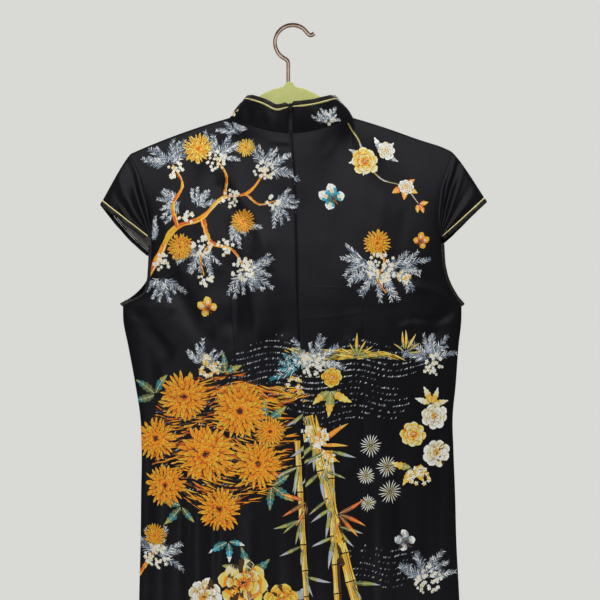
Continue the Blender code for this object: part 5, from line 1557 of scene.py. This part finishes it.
def onCollar(hand):
    # the same for a collar half
    points, inward = collarPieces[hand][1:3]
    rows, cols = points.shape[:2]
    long = runLength(points[rows // 2])
    tall = np.linalg.norm(points[-1] - points[0], axis=-1)

    def place(xy):
        # column from the length along the stand, and row from the share of its height there
        col = np.interp(xy[..., 0], long, np.arange(cols))
        row = (1 - xy[..., 1] / np.interp(col, np.arange(cols), tall)) * (rows - 1)
        onCloth = (xy[..., 0] > 0) & (xy[..., 0] < long[-1]) & (row > 0) & (row < rows - 1)
        return between(points, row, col), -unit(between(inward, row, col)), onCloth

    return place


def layPrint(name, sets, place):
    # each stroke becomes a strip three points wide, or two if it is fine, lifted off the cloth by
    # lift + layerLift * layer; what falls outside the cloth is left out
    allPoints, allQuads, allInk, count = [], [], [], 0
    for mid, wide, ink, layer in sets:
        run = unit(np.gradient(mid, axis=1))
        side = np.stack((-run[..., 1], run[..., 0]), -1)
        off = wide[:, :, None] * np.linspace(-0.5, 0.5, 2 if wide.max() < printing["fine"] else 3)
        points, out, onCloth = place(mid[:, :, None] + side[:, :, None] * off[..., None])
        lift = printing["lift"] + printing["layerLift"] * layer[:, None, None, None]
        flat = (points + out * lift).reshape(-1, 3)
        k, n, m = off.shape
        quads = (gridQuads(n, m)[None] + (np.arange(k) * n * m)[:, None, None]).reshape(-1, 4)
        corner = flat[quads]
        normal = np.cross(corner[:, 2] - corner[:, 0], corner[:, 3] - corner[:, 1])
        area = np.linalg.norm(normal, axis=-1) / 2
        keep = onCloth.reshape(-1)[quads].any(1) & (area > printing["least"]) & (area < printing["most"])
        turned = np.sum(normal * out.reshape(-1, 3)[quads[:, 0]], -1) < 0
        quads = np.where(turned[:, None], quads[:, ::-1], quads)[keep]
        allPoints.append(flat)
        allQuads.append(quads + count)
        allInk.append(np.repeat(ink, m - 1, axis=1).reshape(-1)[keep])
        count += len(flat)
    used, quads = np.unique(np.concatenate(allQuads), return_inverse=True)
    inkUsed, ink = np.unique(np.concatenate(allInk), return_inverse=True)
    ob = newPiece(name, np.concatenate(allPoints)[used], quads.reshape(-1, 4),
                  [inkPaints[k] for k in inkUsed], ink, closed=False)
    print(name, len(ob.data.polygons), "quads")
    return finishPiece(ob, "dress")


backArt = drawAll(backRows + lowerRows(-170, 210), printing["seeds"]["back"])
frontArt = drawAll(frontRows + lowerRows(-160, 200), printing["seeds"]["front"])
prints = {
    -1: layPrint("backLeftPrint", backArt, onPanel(-1)),
    1: layPrint("backRightPrint", backArt, onPanel(1, printing["rightShift"])),
    0: layPrint("frontPrint", frontArt, onPanel(0)),
}
collarPrints = {}
for hand in (-1, 1):
    art = drawAll(collarRows[hand], printing["seeds"]["collar"])
    collarPrints[hand] = layPrint("collar" + handName[hand] + "Print", art, onCollar(hand))
print("print laid on")

for hand in (-1, 1):
    collarPieces[hand][3] + [collarPrints[hand]]

studio = {
    "lights": {  # place and size in metres, watts, and whether it shows in the satin's gloss
        "key": ((-0.3, -1.5, 2.4), (2.4, 2.4), 74, False),
        "glow": ((-0.05, -2.3, 0.76), (3.6, 1.0), 17.5, True),
        "waist": ((-0.12, -2.3, -0.02), (1.8, 0.56), 4.4, True),
        "crown": ((0.0, -1.7, 1.8), (3.0, 1.1), 13, True),
        "low": ((-1.1, -2.0, -1.1), (0.35, 1.2), 2.6, True),
        "top": ((0.7, -0.6, 1.7), (1.8, 1.8), 10, False),
        "rim": ((0.4, 2.2, 1.2), (2.2, 2.2), 40, True),
    },
    "target": (0.0, 0.0, -0.40), "world": linear(222, 222, 219), "worldStrength": 0.95, "softStrength": 0.14,
    "lens": 38.7, "sensor": 36.0, "camera": (0.0096, -0.88, -0.3724),
    "floor": linear(205, 204, 200), "floorHalf": 0.85, "floorAt": -1.26,
}
for name, (place, size, power, shines) in studio["lights"].items():
    light = bpy.data.lights.new(name + "Light", "AREA")
    light.shape, light.energy = "RECTANGLE", power
    light.size, light.size_y = size
    ob = bpy.data.objects.new(name + "Light", light)
    ob.location = place
    ob.rotation_euler = (ob.location - Vector(studio["target"])).to_track_quat("Z", "Y").to_euler()
    ob.visible_glossy = shines
    bpy.context.scene.collection.objects.link(ob)

world = bpy.data.worlds.new("paleStudio")  # the camera sees one background, and a weaker one lights
world.use_nodes = True
nodes, links = world.node_tree.nodes, world.node_tree.links
shown, soft = nodes["Background"], nodes.new("ShaderNodeBackground")
ray, either = nodes.new("ShaderNodeLightPath"), nodes.new("ShaderNodeMixShader")
shown.inputs["Color"].default_value = studio["world"]
shown.inputs["Strength"].default_value = studio["worldStrength"]
soft.inputs["Color"].default_value = studio["world"]
soft.inputs["Strength"].default_value = studio["softStrength"]
links.new(ray.outputs["Is Camera Ray"], either.inputs[0])
links.new(soft.outputs[0], either.inputs[1])
links.new(shown.outputs[0], either.inputs[2])
links.new(either.outputs[0], nodes["World Output"].inputs["Surface"])
bpy.context.scene.world = world
bpy.context.scene.view_settings.view_transform = "Standard"

optics = bpy.data.cameras.new("camera")
optics.lens, optics.sensor_width = studio["lens"], studio["sensor"]
optics.clip_start = 0.01
camera = bpy.data.objects.new("camera", optics)
camera.location = studio["camera"]
camera.rotation_euler = (math.radians(90), 0, 0)
bpy.context.scene.collection.objects.link(camera)
bpy.context.scene.camera = camera

half, height = studio["floorHalf"], studio["floorAt"]
corners = [(x * half, y * half, height) for x, y in ((-1, -1), (1, -1), (1, 1), (-1, 1))]
plane = bpy.data.meshes.new("floor")
plane.from_pydata(corners, [], [(0, 1, 2, 3)])
plane.materials.append(Paint("paleFloor", baseColor=studio["floor"], roughness=0.8).material)
floor = bpy.data.objects.new("floor", plane)
bpy.context.scene.collection.objects.link(floor)
print("lights, camera and floor set")
